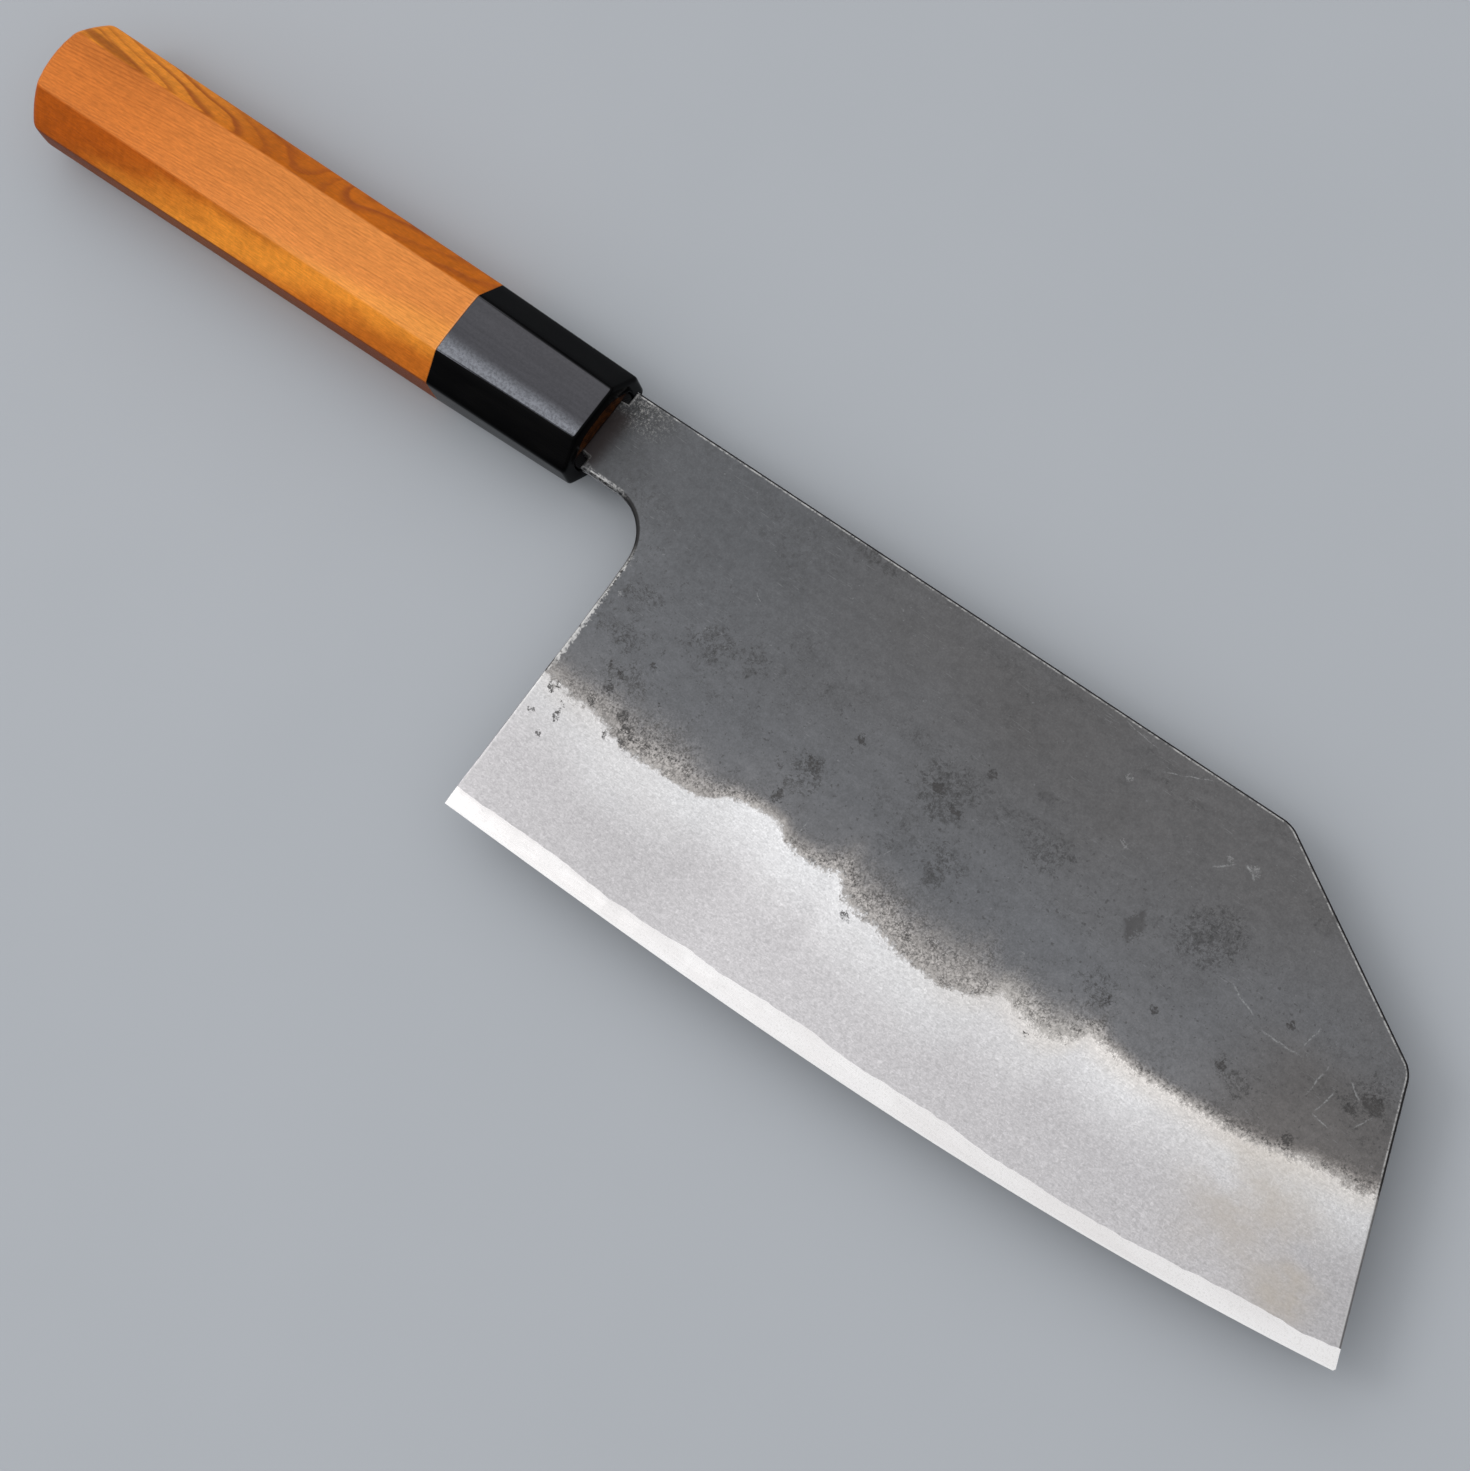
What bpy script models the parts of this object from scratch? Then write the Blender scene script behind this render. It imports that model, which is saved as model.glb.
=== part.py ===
"""Bunka kitchen knife with an octagonal wooden handle, as one assembly in one shared frame.

Metres, +Z up. The knife lies on its left side: +X runs to the tip, +Y to the spine and +Z out of
the right cheek. In the knife's own numbers the handle's axis is y = 0, z = 0 and the ferrule's
mouth is x = 0; place() moves them so that the origin is below the middle of the overall box.
"""
import math

import bmesh
import bpy

# Handle: an octagon that narrows from the butt to the joint and again to the mouth.
HANDLE_LENGTH = 0.1252
FERRULE_LENGTH = 0.0295
BUTT_HEIGHT = 0.0234
JOINT_HEIGHT = 0.0213
MOUTH_HEIGHT = 0.0204
GRIP_THICKNESS = 0.0174
MOUTH_THICKNESS = 0.0156
BUTT_CORNER_CUT = 0.00575
JOINT_CORNER_CUT = 0.0048
MOUTH_CORNER_CUT = 0.0050
BUTT_DOME_RADIUS = 0.022
BUTT_SLANT_DEGREES = 2.0
BUTT_LIFT = -0.0003
MOUTH_LIFT = 0.00025
HORN_WALL = 0.0024
GRIP_EDGE_EASE = 0.00035
HORN_EDGE_EASE = 0.0004
TENON_RECESS = 0.0002

# Blade, seen on its cheek.
EDGE_LENGTH = 0.1656
BLADE_HEIGHT = 0.0741
NECK_LENGTH = 0.018
NECK_HEIGHT = 0.0159
NECK_TOP = 0.0087
SPINE_RISE = 0.00025
SHOULDER_GAP = 0.00095
CHOIL_RADIUS = 0.009
CHOIL_LEAN = 0.0009
LEAN_HEIGHT = 0.0218
LEAN_RADIUS = 0.06
TIP_SLANT_RUN = 0.0162
CLIP_RUN = 0.0361
CLIP_DROP = 0.02135
CLIP_CORNER_RADIUS = 0.005
SPINE_CORNER_RADIUS = 0.006
TIP_RISE = 0.00965
BELLY_POWER = 2.9

# Blade, in section.
NECK_THICKNESS = 0.0032
TAPER_TO_TIP = 0.0038
TAPER_TO_EDGE = 0.006
CORE_THICKNESS = 0.0006
CUTTING_EDGE_THICKNESS = 0.0002
BEVEL_WIDTH = 0.0253
HARD_STRIP_WIDTH = 0.0033
KNEE_SHARE = 0.8
BLADE_EDGE_EASE = 0.0003

# Tang, as shares of the piece that holds it.
TANG_LENGTH_SHARE = 0.66
TANG_HEIGHT_SHARE = 0.75
TANG_END_SHARE = 0.45
TANG_LIFT = 0.0006

# Gap left around a piece that is seated in another.
SEAT_GAP = 0.0003

# Sizes that follow from the ones above.
JOINT_X = -FERRULE_LENGTH
BUTT_X = -HANDLE_LENGTH
TIP_X = NECK_LENGTH + EDGE_LENGTH
CORE_HALF = CORE_THICKNESS / 2
NECK_HALF = NECK_THICKNESS / 2
SPINE_Y = NECK_TOP + SPINE_RISE
HEEL_Y = SPINE_Y - BLADE_HEIGHT
CLIP_CORNER = (TIP_X - TIP_SLANT_RUN, SPINE_Y - CLIP_DROP)
SPINE_CORNER = (CLIP_CORNER[0] - CLIP_RUN, SPINE_Y)
TENON_INSET = HORN_WALL + SEAT_GAP
TANG_LENGTH = TANG_LENGTH_SHARE * HANDLE_LENGTH
TANG_HEIGHT = TANG_HEIGHT_SHARE * (MOUTH_HEIGHT - 2 * TENON_INSET)
TANG_END_HALF = TANG_END_SHARE * NECK_HALF

# Middle of the overall box, in the knife's own numbers.
BOX_MIDDLE_X = (TIP_X + BUTT_X) / 2
BOX_MIDDLE_Y = (HEEL_Y + max(BUTT_HEIGHT / 2 + BUTT_LIFT, SPINE_Y)) / 2
BOX_FLOOR_Z = -GRIP_THICKNESS / 2

# How far a cutter reaches past the piece that it cuts, and how finely curves are divided.
REACH = 0.012
CORNER_STEPS = 12
BELLY_STEPS = 40
DOME_STEPS = 96
DOME_ARC_STEPS = 24
ENVELOPE_MARGIN = 1.3


def place(x, y, z):
    """A point of the knife in the shared frame."""
    return (x - BOX_MIDDLE_X, y - BOX_MIDDLE_Y, z - BOX_FLOOR_Z)


def mix(a, b, share):
    return a + (b - a) * share


def clear_scene():
    for obj in list(bpy.data.objects):
        bpy.data.objects.remove(obj, do_unlink=True)


def new_collection(name):
    collection = bpy.data.collections.new(name)
    bpy.context.scene.collection.children.link(collection)
    return collection


def plain_material(name, colour, metallic, roughness):
    material = bpy.data.materials.new(name)
    material.use_nodes = True
    shader = material.node_tree.nodes["Principled BSDF"]
    shader.inputs["Base Color"].default_value = (*colour, 1.0)
    shader.inputs["Metallic"].default_value = metallic
    shader.inputs["Roughness"].default_value = roughness
    return material


def add_part(name, mesh, material, parts):
    mesh.materials.append(material)
    obj = bpy.data.objects.new(name, mesh)
    parts.objects.link(obj)
    return obj


def add_cutter(name, mesh, cutters):
    obj = bpy.data.objects.new(name, mesh)
    obj.hide_render = True
    obj.display_type = "WIRE"
    cutters.objects.link(obj)
    return obj


def cut(obj, cutter, operation):
    modifier = obj.modifiers.new(f"{operation.lower()} {cutter.name}", "BOOLEAN")
    modifier.object = cutter
    modifier.operation = operation
    modifier.solver = "EXACT"


def ease(obj, width, angle):
    modifier = obj.modifiers.new("eased edges", "BEVEL")
    modifier.width = width
    modifier.segments = 2
    modifier.limit_method = "ANGLE"
    modifier.angle_limit = math.radians(angle)


def loft(name, sections):
    """Closed solid through sections that all have the same number of points."""
    bm = bmesh.new()
    rings = [[bm.verts.new(place(*point)) for point in section] for section in sections]
    for near, far in zip(rings, rings[1:]):
        for i, here in enumerate(near):
            j = (i + 1) % len(near)
            bm.faces.new((here, near[j], far[j], far[i]))
    bm.faces.new(rings[0])
    bm.faces.new(rings[-1])
    bmesh.ops.recalc_face_normals(bm, faces=bm.faces)
    mesh = bpy.data.meshes.new(name)
    bm.to_mesh(mesh)
    bm.free()
    return mesh


def block(name, low, high):
    """A box between two opposite corners, in the knife's own numbers."""
    corners = ((low[1], low[2]), (high[1], low[2]), (high[1], high[2]), (low[1], high[2]))
    return loft(name, [[(x, y, z) for y, z in corners] for x in (low[0], high[0])])


def octagon(x, height, thickness, corner_cut):
    half_y, half_z = height / 2, thickness / 2
    flat_y, flat_z = half_y - corner_cut, half_z - corner_cut
    middle = mix(MOUTH_LIFT, BUTT_LIFT, x / BUTT_X)
    return [(x, middle + y, z) for y, z in (
        (flat_y, half_z), (half_y, flat_z), (half_y, -flat_z), (flat_y, -half_z),
        (-flat_y, -half_z), (-half_y, -flat_z), (-half_y, flat_z), (-flat_y, half_z))]


def grip_octagon(x):
    """The grip's section at x, with its taper carried on past either end."""
    share = (x - JOINT_X) / (BUTT_X - JOINT_X)
    return octagon(x, mix(JOINT_HEIGHT, BUTT_HEIGHT, share), GRIP_THICKNESS,
                   mix(JOINT_CORNER_CUT, BUTT_CORNER_CUT, share))


def ferrule_octagon(x, inset=0.0):
    """The ferrule's section at x, or the same section made smaller by an even inset."""
    share = (x - JOINT_X) / -JOINT_X
    return octagon(x, mix(JOINT_HEIGHT, MOUTH_HEIGHT, share) - 2 * inset,
                   mix(GRIP_THICKNESS, MOUTH_THICKNESS, share) - 2 * inset,
                   mix(JOINT_CORNER_CUT, MOUTH_CORNER_CUT, share) - inset * (2 - math.sqrt(2)))


def round_corner(before, corner, after, radius):
    """Points of the arc that rounds a corner between two straight lines."""
    back = (before[0] - corner[0], before[1] - corner[1])
    ahead = (after[0] - corner[0], after[1] - corner[1])
    back_length, ahead_length = math.hypot(*back), math.hypot(*ahead)
    back = (back[0] / back_length, back[1] / back_length)
    ahead = (ahead[0] / ahead_length, ahead[1] / ahead_length)
    half_angle = math.acos(back[0] * ahead[0] + back[1] * ahead[1]) / 2
    to_middle = radius / math.sin(half_angle)
    bisector = (back[0] + ahead[0], back[1] + ahead[1])
    bisector_length = math.hypot(*bisector)
    middle = (corner[0] + bisector[0] / bisector_length * to_middle,
              corner[1] + bisector[1] / bisector_length * to_middle)
    to_tangent = radius / math.tan(half_angle)
    start = math.atan2(corner[1] + back[1] * to_tangent - middle[1],
                       corner[0] + back[0] * to_tangent - middle[0])
    end = math.atan2(corner[1] + ahead[1] * to_tangent - middle[1],
                     corner[0] + ahead[0] * to_tangent - middle[0])
    turn = (end - start + math.pi) % (2 * math.pi) - math.pi
    return [(middle[0] + radius * math.cos(start + turn * i / CORNER_STEPS),
             middle[1] + radius * math.sin(start + turn * i / CORNER_STEPS))
            for i in range(CORNER_STEPS + 1)]


def edge_y(x):
    """Height of the cutting edge at x: flat at the heel, rising to the tip."""
    share = max(0.0, (x - NECK_LENGTH) / EDGE_LENGTH)
    return HEEL_Y + TIP_RISE * share ** BELLY_POWER


def tang_outline():
    """The tang's four corners, from its lower end corner round to the upper one."""
    end_x = SHOULDER_GAP - TANG_LENGTH
    half, end_half = TANG_HEIGHT / 2, TANG_HEIGHT * TANG_END_SHARE / 2
    return ((end_x, TANG_LIFT - end_half), (SHOULDER_GAP, TANG_LIFT - half),
            (SHOULDER_GAP, TANG_LIFT + half), (end_x, TANG_LIFT + end_half))


def blade_outline():
    """Outline of tang, neck and blade, with the curved cutting edge."""
    end_low, mouth_low, mouth_high, end_high = tang_outline()
    neck_low = (SHOULDER_GAP, NECK_TOP - NECK_HEIGHT)
    choil = (NECK_LENGTH - CHOIL_LEAN, NECK_TOP - NECK_HEIGHT)
    lean_end = (NECK_LENGTH, choil[1] - LEAN_HEIGHT)
    heel = (NECK_LENGTH, HEEL_Y)
    tip = (TIP_X, edge_y(TIP_X))
    points = [end_low, mouth_low, neck_low]
    points += round_corner(neck_low, choil, lean_end, CHOIL_RADIUS)
    points += round_corner(choil, lean_end, heel, LEAN_RADIUS)
    for i in range(BELLY_STEPS + 1):
        x = mix(heel[0], tip[0], i / BELLY_STEPS)
        points.append((x, edge_y(x)))
    points += round_corner(tip, CLIP_CORNER, SPINE_CORNER, CLIP_CORNER_RADIUS)
    points += round_corner(CLIP_CORNER, SPINE_CORNER, (SHOULDER_GAP, NECK_TOP), SPINE_CORNER_RADIUS)
    points += [(SHOULDER_GAP, NECK_TOP), mouth_high, end_high]
    return points


def extruded_outline(name, points):
    """A filled flat curve, extruded to both sides of the blade's middle plane."""
    curve = bpy.data.curves.new(name, "CURVE")
    curve.dimensions = "2D"
    curve.fill_mode = "BOTH"
    curve.extrude = REACH
    spline = curve.splines.new("POLY")
    spline.points.add(len(points) - 1)
    spline.use_cyclic_u = True
    for spline_point, (x, y) in zip(spline.points, points):
        px, py, _ = place(x, y, 0.0)
        spline_point.co = (px, py, 0.0, 1.0)
    drawn = bpy.data.objects.new(name, curve)
    mesh = bpy.data.meshes.new_from_object(drawn)
    bpy.data.objects.remove(drawn)
    bm = bmesh.new()
    bm.from_mesh(mesh)
    bmesh.ops.remove_doubles(bm, verts=bm.verts, dist=1e-7)
    bmesh.ops.translate(bm, verts=bm.verts, vec=(0.0, 0.0, -BOX_FLOOR_Z))
    bmesh.ops.recalc_face_normals(bm, faces=bm.faces)
    bm.to_mesh(mesh)
    bm.free()
    return mesh


def cheek_z(x, y):
    """Half the blade's thickness at a point of the flat cheek."""
    if x < 0.0:
        return mix(NECK_HALF, TANG_END_HALF, min(1.0, x / (SHOULDER_GAP - TANG_LENGTH)))
    return NECK_HALF - TAPER_TO_TIP * x - TAPER_TO_EDGE * (NECK_TOP - y)


def blade_stock():
    """The forged sheet before it is cut to its outline: thick at the neck, thin at the tip."""
    sections = []
    for x in (SHOULDER_GAP - TANG_LENGTH - REACH, 0.0, TIP_X + REACH):
        top, bottom = SPINE_Y + REACH, HEEL_Y - REACH
        sections.append([(x, top, cheek_z(x, top)), (x, bottom, cheek_z(x, bottom)),
                         (x, bottom, -cheek_z(x, bottom)), (x, top, -cheek_z(x, top))])
    return loft("blade stock", sections)


def grind_cutter(name, side):
    """What grinding takes off one side: the wide bevel, and the steeper strip at the edge."""
    sections = []
    low, high = NECK_LENGTH - REACH, TIP_X + REACH
    for i in range(BELLY_STEPS + 1):
        x = mix(low, high, i / BELLY_STEPS)
        edge = edge_y(x)
        shoulder = edge + BEVEL_WIDTH
        slope = (cheek_z(x, shoulder) - CORE_HALF) / (BEVEL_WIDTH - HARD_STRIP_WIDTH)
        knee = HARD_STRIP_WIDTH * KNEE_SHARE
        above = REACH / 2
        sections.append([(x, y, side * z) for y, z in (
            (edge - REACH, CUTTING_EDGE_THICKNESS / 2),
            (edge, CUTTING_EDGE_THICKNESS / 2),
            (edge + knee, CORE_HALF - slope * (HARD_STRIP_WIDTH - knee)),
            (shoulder + above, cheek_z(x, shoulder) + slope * above),
            (shoulder + above, REACH),
            (edge - REACH, REACH))])
    return loft(name, sections)


def build_blade_layer(name, low_z, high_z, material, parts, cutters, shaping):
    """One layer of the laminated blade: the whole blade's shape between two levels."""
    layer = add_part(name, blade_stock(), material, parts)
    cut(layer, shaping["outline"], "INTERSECT")
    ease(layer, BLADE_EDGE_EASE, 50)
    cut(layer, shaping["grind right"], "DIFFERENCE")
    cut(layer, shaping["grind left"], "DIFFERENCE")
    far = TIP_X + HANDLE_LENGTH
    slab = block(f"{name} level", (-far, HEEL_Y - REACH, low_z), (far, SPINE_Y + REACH, high_z))
    cut(layer, add_cutter(f"{name} level", slab, cutters), "INTERSECT")
    return layer


def build_blade(parts, cutters):
    shaping = {
        "outline": add_cutter("outline", extruded_outline("outline", blade_outline()), cutters),
        "grind right": add_cutter("grind right", grind_cutter("grind right", 1), cutters),
        "grind left": add_cutter("grind left", grind_cutter("grind left", -1), cutters),
    }
    hard_steel = plain_material("hard steel", (0.80, 0.80, 0.79), 1.0, 0.28)
    build_blade_layer("hard_steel_core", -CORE_HALF, CORE_HALF, hard_steel, parts, cutters, shaping)
    for side, low_z, high_z in (("right", CORE_HALF, REACH), ("left", -REACH, -CORE_HALF)):
        iron = plain_material(f"scaled iron {side}", (0.10, 0.105, 0.115), 0.75, 0.5)
        build_blade_layer(f"iron_cladding_{side}", low_z, high_z, iron, parts, cutters, shaping)


def dome_envelope():
    """A round bar with a domed end, turned about the handle's axis by a Screw modifier."""
    half_diagonal = math.hypot(BUTT_HEIGHT, GRIP_THICKNESS) / 2
    dome_radius = max(BUTT_DOME_RADIUS, half_diagonal * ENVELOPE_MARGIN)
    bar_radius = min(dome_radius, half_diagonal * ENVELOPE_MARGIN)
    arc = math.asin(bar_radius / dome_radius)
    bm = bmesh.new()
    profile = []
    for i in range(DOME_ARC_STEPS + 1):
        angle = arc * i / DOME_ARC_STEPS
        profile.append((BUTT_X + dome_radius * (1 - math.cos(angle)), dome_radius * math.sin(angle)))
    profile += [(REACH, bar_radius), (REACH, 0.0)]
    verts = [bm.verts.new((x - BUTT_X, radius, 0.0)) for x, radius in profile]
    for a, b in zip(verts, verts[1:]):
        bm.edges.new((a, b))
    mesh = bpy.data.meshes.new("dome profile")
    bm.to_mesh(mesh)
    bm.free()
    return mesh


def turned_dome(cutters):
    """The dome envelope as a closed mesh, set at the butt and lifted so that the end slants."""
    turned = bpy.data.objects.new("dome", dome_envelope())
    cutters.objects.link(turned)
    screw = turned.modifiers.new("turned", "SCREW")
    screw.axis = "X"
    screw.steps = DOME_STEPS
    screw.render_steps = DOME_STEPS
    screw.use_merge_vertices = True
    screw.merge_threshold = 1e-6
    screw.use_normal_calculate = True
    mesh = bpy.data.meshes.new_from_object(
        turned.evaluated_get(bpy.context.evaluated_depsgraph_get()))
    bpy.data.objects.remove(turned)
    bm = bmesh.new()
    bm.from_mesh(mesh)
    bmesh.ops.remove_doubles(bm, verts=bm.verts, dist=1e-7)
    lift = BUTT_LIFT + BUTT_DOME_RADIUS * math.sin(math.radians(BUTT_SLANT_DEGREES))
    bmesh.ops.translate(bm, verts=bm.verts, vec=place(BUTT_X, lift, 0.0))
    bmesh.ops.recalc_face_normals(bm, faces=bm.faces)
    bm.to_mesh(mesh)
    bm.free()
    return add_cutter("dome", mesh, cutters)


def tang_slot():
    """The tang's own shape, made larger all round by the seating gap."""
    end_low, mouth_low, mouth_high, end_high = tang_outline()
    sections = []
    for low, high in ((end_low, end_high), (mouth_low, mouth_high)):
        x = low[0] - SEAT_GAP if low is end_low else REACH
        share = (x - end_low[0]) / (mouth_low[0] - end_low[0])
        bottom = mix(end_low[1], mouth_low[1], share) - SEAT_GAP
        top = mix(end_high[1], mouth_high[1], share) + SEAT_GAP
        half = mix(TANG_END_HALF, NECK_HALF, share) + SEAT_GAP
        sections.append([(x, top, half), (x, bottom, half), (x, bottom, -half), (x, top, -half)])
    return loft("tang slot", sections)


def build_grip(parts, cutters):
    """Octagonal wood with a domed butt, a tenon for the ferrule and a slot for the tang."""
    wood = plain_material("yew wood", (0.62, 0.27, 0.07), 0.0, 0.42)
    grip = add_part("wooden_grip", loft("wooden_grip", [
        grip_octagon(BUTT_X - REACH), grip_octagon(JOINT_X + REACH)]), wood, parts)
    cut(grip, turned_dome(cutters), "INTERSECT")
    ease(grip, GRIP_EDGE_EASE, 20)
    past = block("past joint", (JOINT_X, -BUTT_HEIGHT, -BUTT_HEIGHT),
                 (REACH * 2, BUTT_HEIGHT, BUTT_HEIGHT))
    cut(grip, add_cutter("past joint", past, cutters), "DIFFERENCE")
    tenon = loft("tenon", [ferrule_octagon(JOINT_X - REACH, TENON_INSET),
                           ferrule_octagon(-TENON_RECESS, TENON_INSET)])
    cut(grip, add_cutter("tenon", tenon, cutters), "UNION")
    cut(grip, add_cutter("tang slot", tang_slot(), cutters), "DIFFERENCE")


def build_ferrule(parts, cutters):
    """Octagonal tube of horn around the grip's tenon."""
    horn = plain_material("buffalo horn", (0.012, 0.012, 0.013), 0.0, 0.16)
    ferrule = add_part("horn_ferrule", loft("horn_ferrule", [
        ferrule_octagon(JOINT_X - REACH), ferrule_octagon(0.0)]), horn, parts)
    ease(ferrule, HORN_EDGE_EASE, 20)
    behind = block("behind joint", (JOINT_X - 2 * REACH, -BUTT_HEIGHT, -BUTT_HEIGHT),
                   (JOINT_X, BUTT_HEIGHT, BUTT_HEIGHT))
    cut(ferrule, add_cutter("behind joint", behind, cutters), "DIFFERENCE")
    bore = loft("ferrule bore", [ferrule_octagon(JOINT_X - REACH, HORN_WALL),
                                 ferrule_octagon(REACH, HORN_WALL)])
    cut(ferrule, add_cutter("ferrule bore", bore, cutters), "DIFFERENCE")


def main():
    clear_scene()
    parts = new_collection("bunka knife")
    cutters = new_collection("cutters")
    build_blade(parts, cutters)
    build_grip(parts, cutters)
    build_ferrule(parts, cutters)


main()
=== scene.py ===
import math

import bmesh
import bpy
import numpy as np
from mathutils import Matrix, Vector, noise
from mathutils.geometry import delaunay_2d_cdt


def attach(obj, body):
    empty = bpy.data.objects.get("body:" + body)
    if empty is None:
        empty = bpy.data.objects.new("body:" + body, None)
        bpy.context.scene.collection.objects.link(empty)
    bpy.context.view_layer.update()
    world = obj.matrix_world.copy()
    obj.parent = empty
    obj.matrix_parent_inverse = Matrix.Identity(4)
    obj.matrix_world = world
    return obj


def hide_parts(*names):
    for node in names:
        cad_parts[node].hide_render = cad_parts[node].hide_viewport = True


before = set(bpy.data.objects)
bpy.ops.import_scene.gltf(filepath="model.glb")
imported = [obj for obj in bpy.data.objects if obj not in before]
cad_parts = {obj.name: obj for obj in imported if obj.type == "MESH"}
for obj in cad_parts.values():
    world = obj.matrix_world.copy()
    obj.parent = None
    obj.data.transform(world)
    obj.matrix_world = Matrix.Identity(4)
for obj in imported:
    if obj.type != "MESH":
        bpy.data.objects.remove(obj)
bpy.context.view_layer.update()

# Bunka kitchen knife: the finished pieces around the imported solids.
# Lengths below are millimetres in the knife's own numbers: x = 0 is the ferrule's mouth with the
# tip at +x, y = 0 is the handle's axis with the spine at +y, and z = 0 is the blade's middle plane.
MM = 0.001

# Handle: an octagon that narrows from the butt to the joint and again to the mouth.
BUTT_X, JOINT_X, MOUTH_X = -125.2, -29.5, 0.0
BUTT_SECTION = (23.4, 17.4, 5.75)       # height, thickness, corner cut
JOINT_SECTION = (21.3, 17.4, 4.8)
MOUTH_SECTION = (20.4, 15.6, 5.0)
BUTT_LIFT, MOUTH_LIFT = -0.3, 0.25
CORNER_SOFTNESS, FACET_CROWN, BORE_ROUNDNESS = 1.3, 0.028, 0.6
DOME_RADIUS, DOME_SLANT, DOME_RIM_SOFTNESS = 22.0, 2.0, 3.2
HORN_WALL, SEAT_GAP, TENON_END = 2.4, 0.3, -0.2
MOUTH_RIM, BORE_RIM, JOINT_CREASE = 0.7, 0.25, 0.07
CROWN_FLAT, CROWN_REACH, DOME_REACH = 2.0, 3.6, 6.5
RING_PITCH = 0.42                       # of the yew wood's growth rings

# Blade, seen on its cheek.
TIP = (183.6, -55.5)
HEEL = (18.0, -65.15)
CLIP_CORNER, CLIP_RADIUS = (167.4, -12.4), 5.0
SPINE_CORNER, SPINE_RADIUS = (131.3, 8.95), 6.0
NECK_TOP, NECK_BOTTOM, SHOULDER_X = 8.7, -7.2, 0.95
CHOIL_CORNER, CHOIL_RADIUS = (17.1, -7.2), 9.0
LEAN_END, LEAN_RADIUS = (18.0, -29.0), 60.0
EDGE_LENGTH, TIP_RISE, BELLY_POWER = 165.6, 9.65, 2.9
TANG_END_X, TANG_MIDDLE, TANG_HALF, TANG_END_HALF = -81.7, 0.6, 5.625, 2.53

# Blade, in section.
NECK_HALF, TANG_TIP_HALF, CORE_HALF, EDGE_HALF = 1.6, 0.72, 0.3, 0.04
TAPER_TO_TIP, TAPER_TO_EDGE = 0.0038, 0.006
STRIP_KNEE = 0.8
TIP_WEAR = 0.35
EASED_EDGE, EASED_CHOIL = 0.3, 0.75
UNEVENNESS = 0.025
SCALLOPS = ((0.22, 2.6, 5), (0.10, 1.1, 9))         # of the strip's end: height, length, seed
HOLLOWS = ((1.0, 16, 11, 7), (0.5, 6, 5, 3))        # of the cheek: share, length, height, seed
IRON_SPACING, CORE_SPACING, ALONG_COUNT = 1.6, 2.4, 330     # of the points on the sheets
RIM_CLEAR, LINE_CLEAR, SHOULDER_CLEAR = 1.0, 0.5, 0.7       # around the lines on the sheets
CUTTER_PAST = 6                         # how far the tang slot's cutter stands out of the mouth
SHARP_ANGLE = 38                        # degrees from which an edge is drawn sharp

# Wavy lines on the right cheek, as points along the blade: the lower end of the forge scale, and
# the upper end of the hard steel that shows along the cutting edge.
SCALE_END = (
    (16, -38.2), (22, -38.9), (30, -39.2), (33, -40.2), (36, -41.3), (40, -41.5), (45, -40.9),
    (50, -41), (53, -40.2), (54.5, -39.2), (56, -37.9), (60, -36.9), (64, -36.6), (66, -37),
    (68, -38.3), (70, -38.9), (76, -38.7), (78, -37.5), (79.5, -38.4), (80.5, -40), (83, -41),
    (88, -41.2), (90, -42.1), (95, -42.6), (101, -43), (104, -42.3), (107, -41.3), (109, -40.1),
    (110, -38.5), (115, -39.1), (118, -40), (121, -39.5), (124, -37.4), (125, -35.5),
    (130, -36.1), (135, -36.4), (140, -36), (150, -35.6), (155, -35), (158, -34.1),
    (160, -33.5), (163, -32.6), (168, -32.1), (172, -31.8), (176, -30.2))
STRIP_END = (
    (16, -61.8), (20, -61.8), (40, -61.5), (50, -62), (61, -61.6), (65, -61.1), (73, -61.3),
    (79, -60.7), (88, -60.2), (97, -60.5), (105, -60), (113, -59.5), (125, -59.5), (138, -58.7),
    (147, -57.8), (155, -56.6), (163, -55.3), (170, -54.3), (177, -53.7), (184, -52))
# The pale speckled zone above the scale's lower end, along the blade: the height at which two
# thirds of it have faded, and how far the border itself is broken up.
ZONE = (
    (16, 2.6, 2.2), (24, 2.6, 2.0), (32, 3.8, 1.2), (40, 5.2, 1.0), (48, 4.0, 0.7), (56, 1.9, 0.8),
    (64, 1.5, 0.9), (72, 2.1, 1.2), (82, 4.6, 1.8), (91, 4.8, 1.6), (98, 5.8, 0.9), (104, 6.8, 0.9),
    (109, 3.6, 2.0), (115, 3.4, 2.4), (121, 4.2, 2.2), (128, 1.5, 1.5), (142, 1.2, 1.8),
    (152, 1.7, 1.8), (161, 1.4, 1.6), (168, 2.0, 1.8), (176, 2.1, 2.0))

# Studio, in metres. The camera's place is in millimetres from the frame's origin.
TABLE_HALF = 1.6
SOFTBOX_SIZE, SOFTBOX_POWER, SOFTBOX_PLACE = (0.55, 0.55), 2.7, (-0.81, -0.33, 1.03)
CAMERA_LENS, CAMERA_SENSOR, CAMERA_PLACE = 81.2, 36.0, Vector((188.1, -70.3, 508.3))
CAMERA_AXES = ((0.7791, 0.6011, -0.1783), (-0.5425, 0.7887, 0.2889), (0.3143, -0.1283, 0.9406))

# The frame's origin, in the knife's own numbers.
ORIGIN = ((TIP[0] + BUTT_X) / 2, (HEEL[1] + BUTT_SECTION[0] / 2 + BUTT_LIFT) / 2,
          -BUTT_SECTION[1] / 2)


def place(x, y, z):
    """A point of the knife, in metres in the shared frame."""
    return Vector((x - ORIGIN[0], y - ORIGIN[1], z - ORIGIN[2])) * MM


# ---------------------------------------------------------------- node trees

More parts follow.
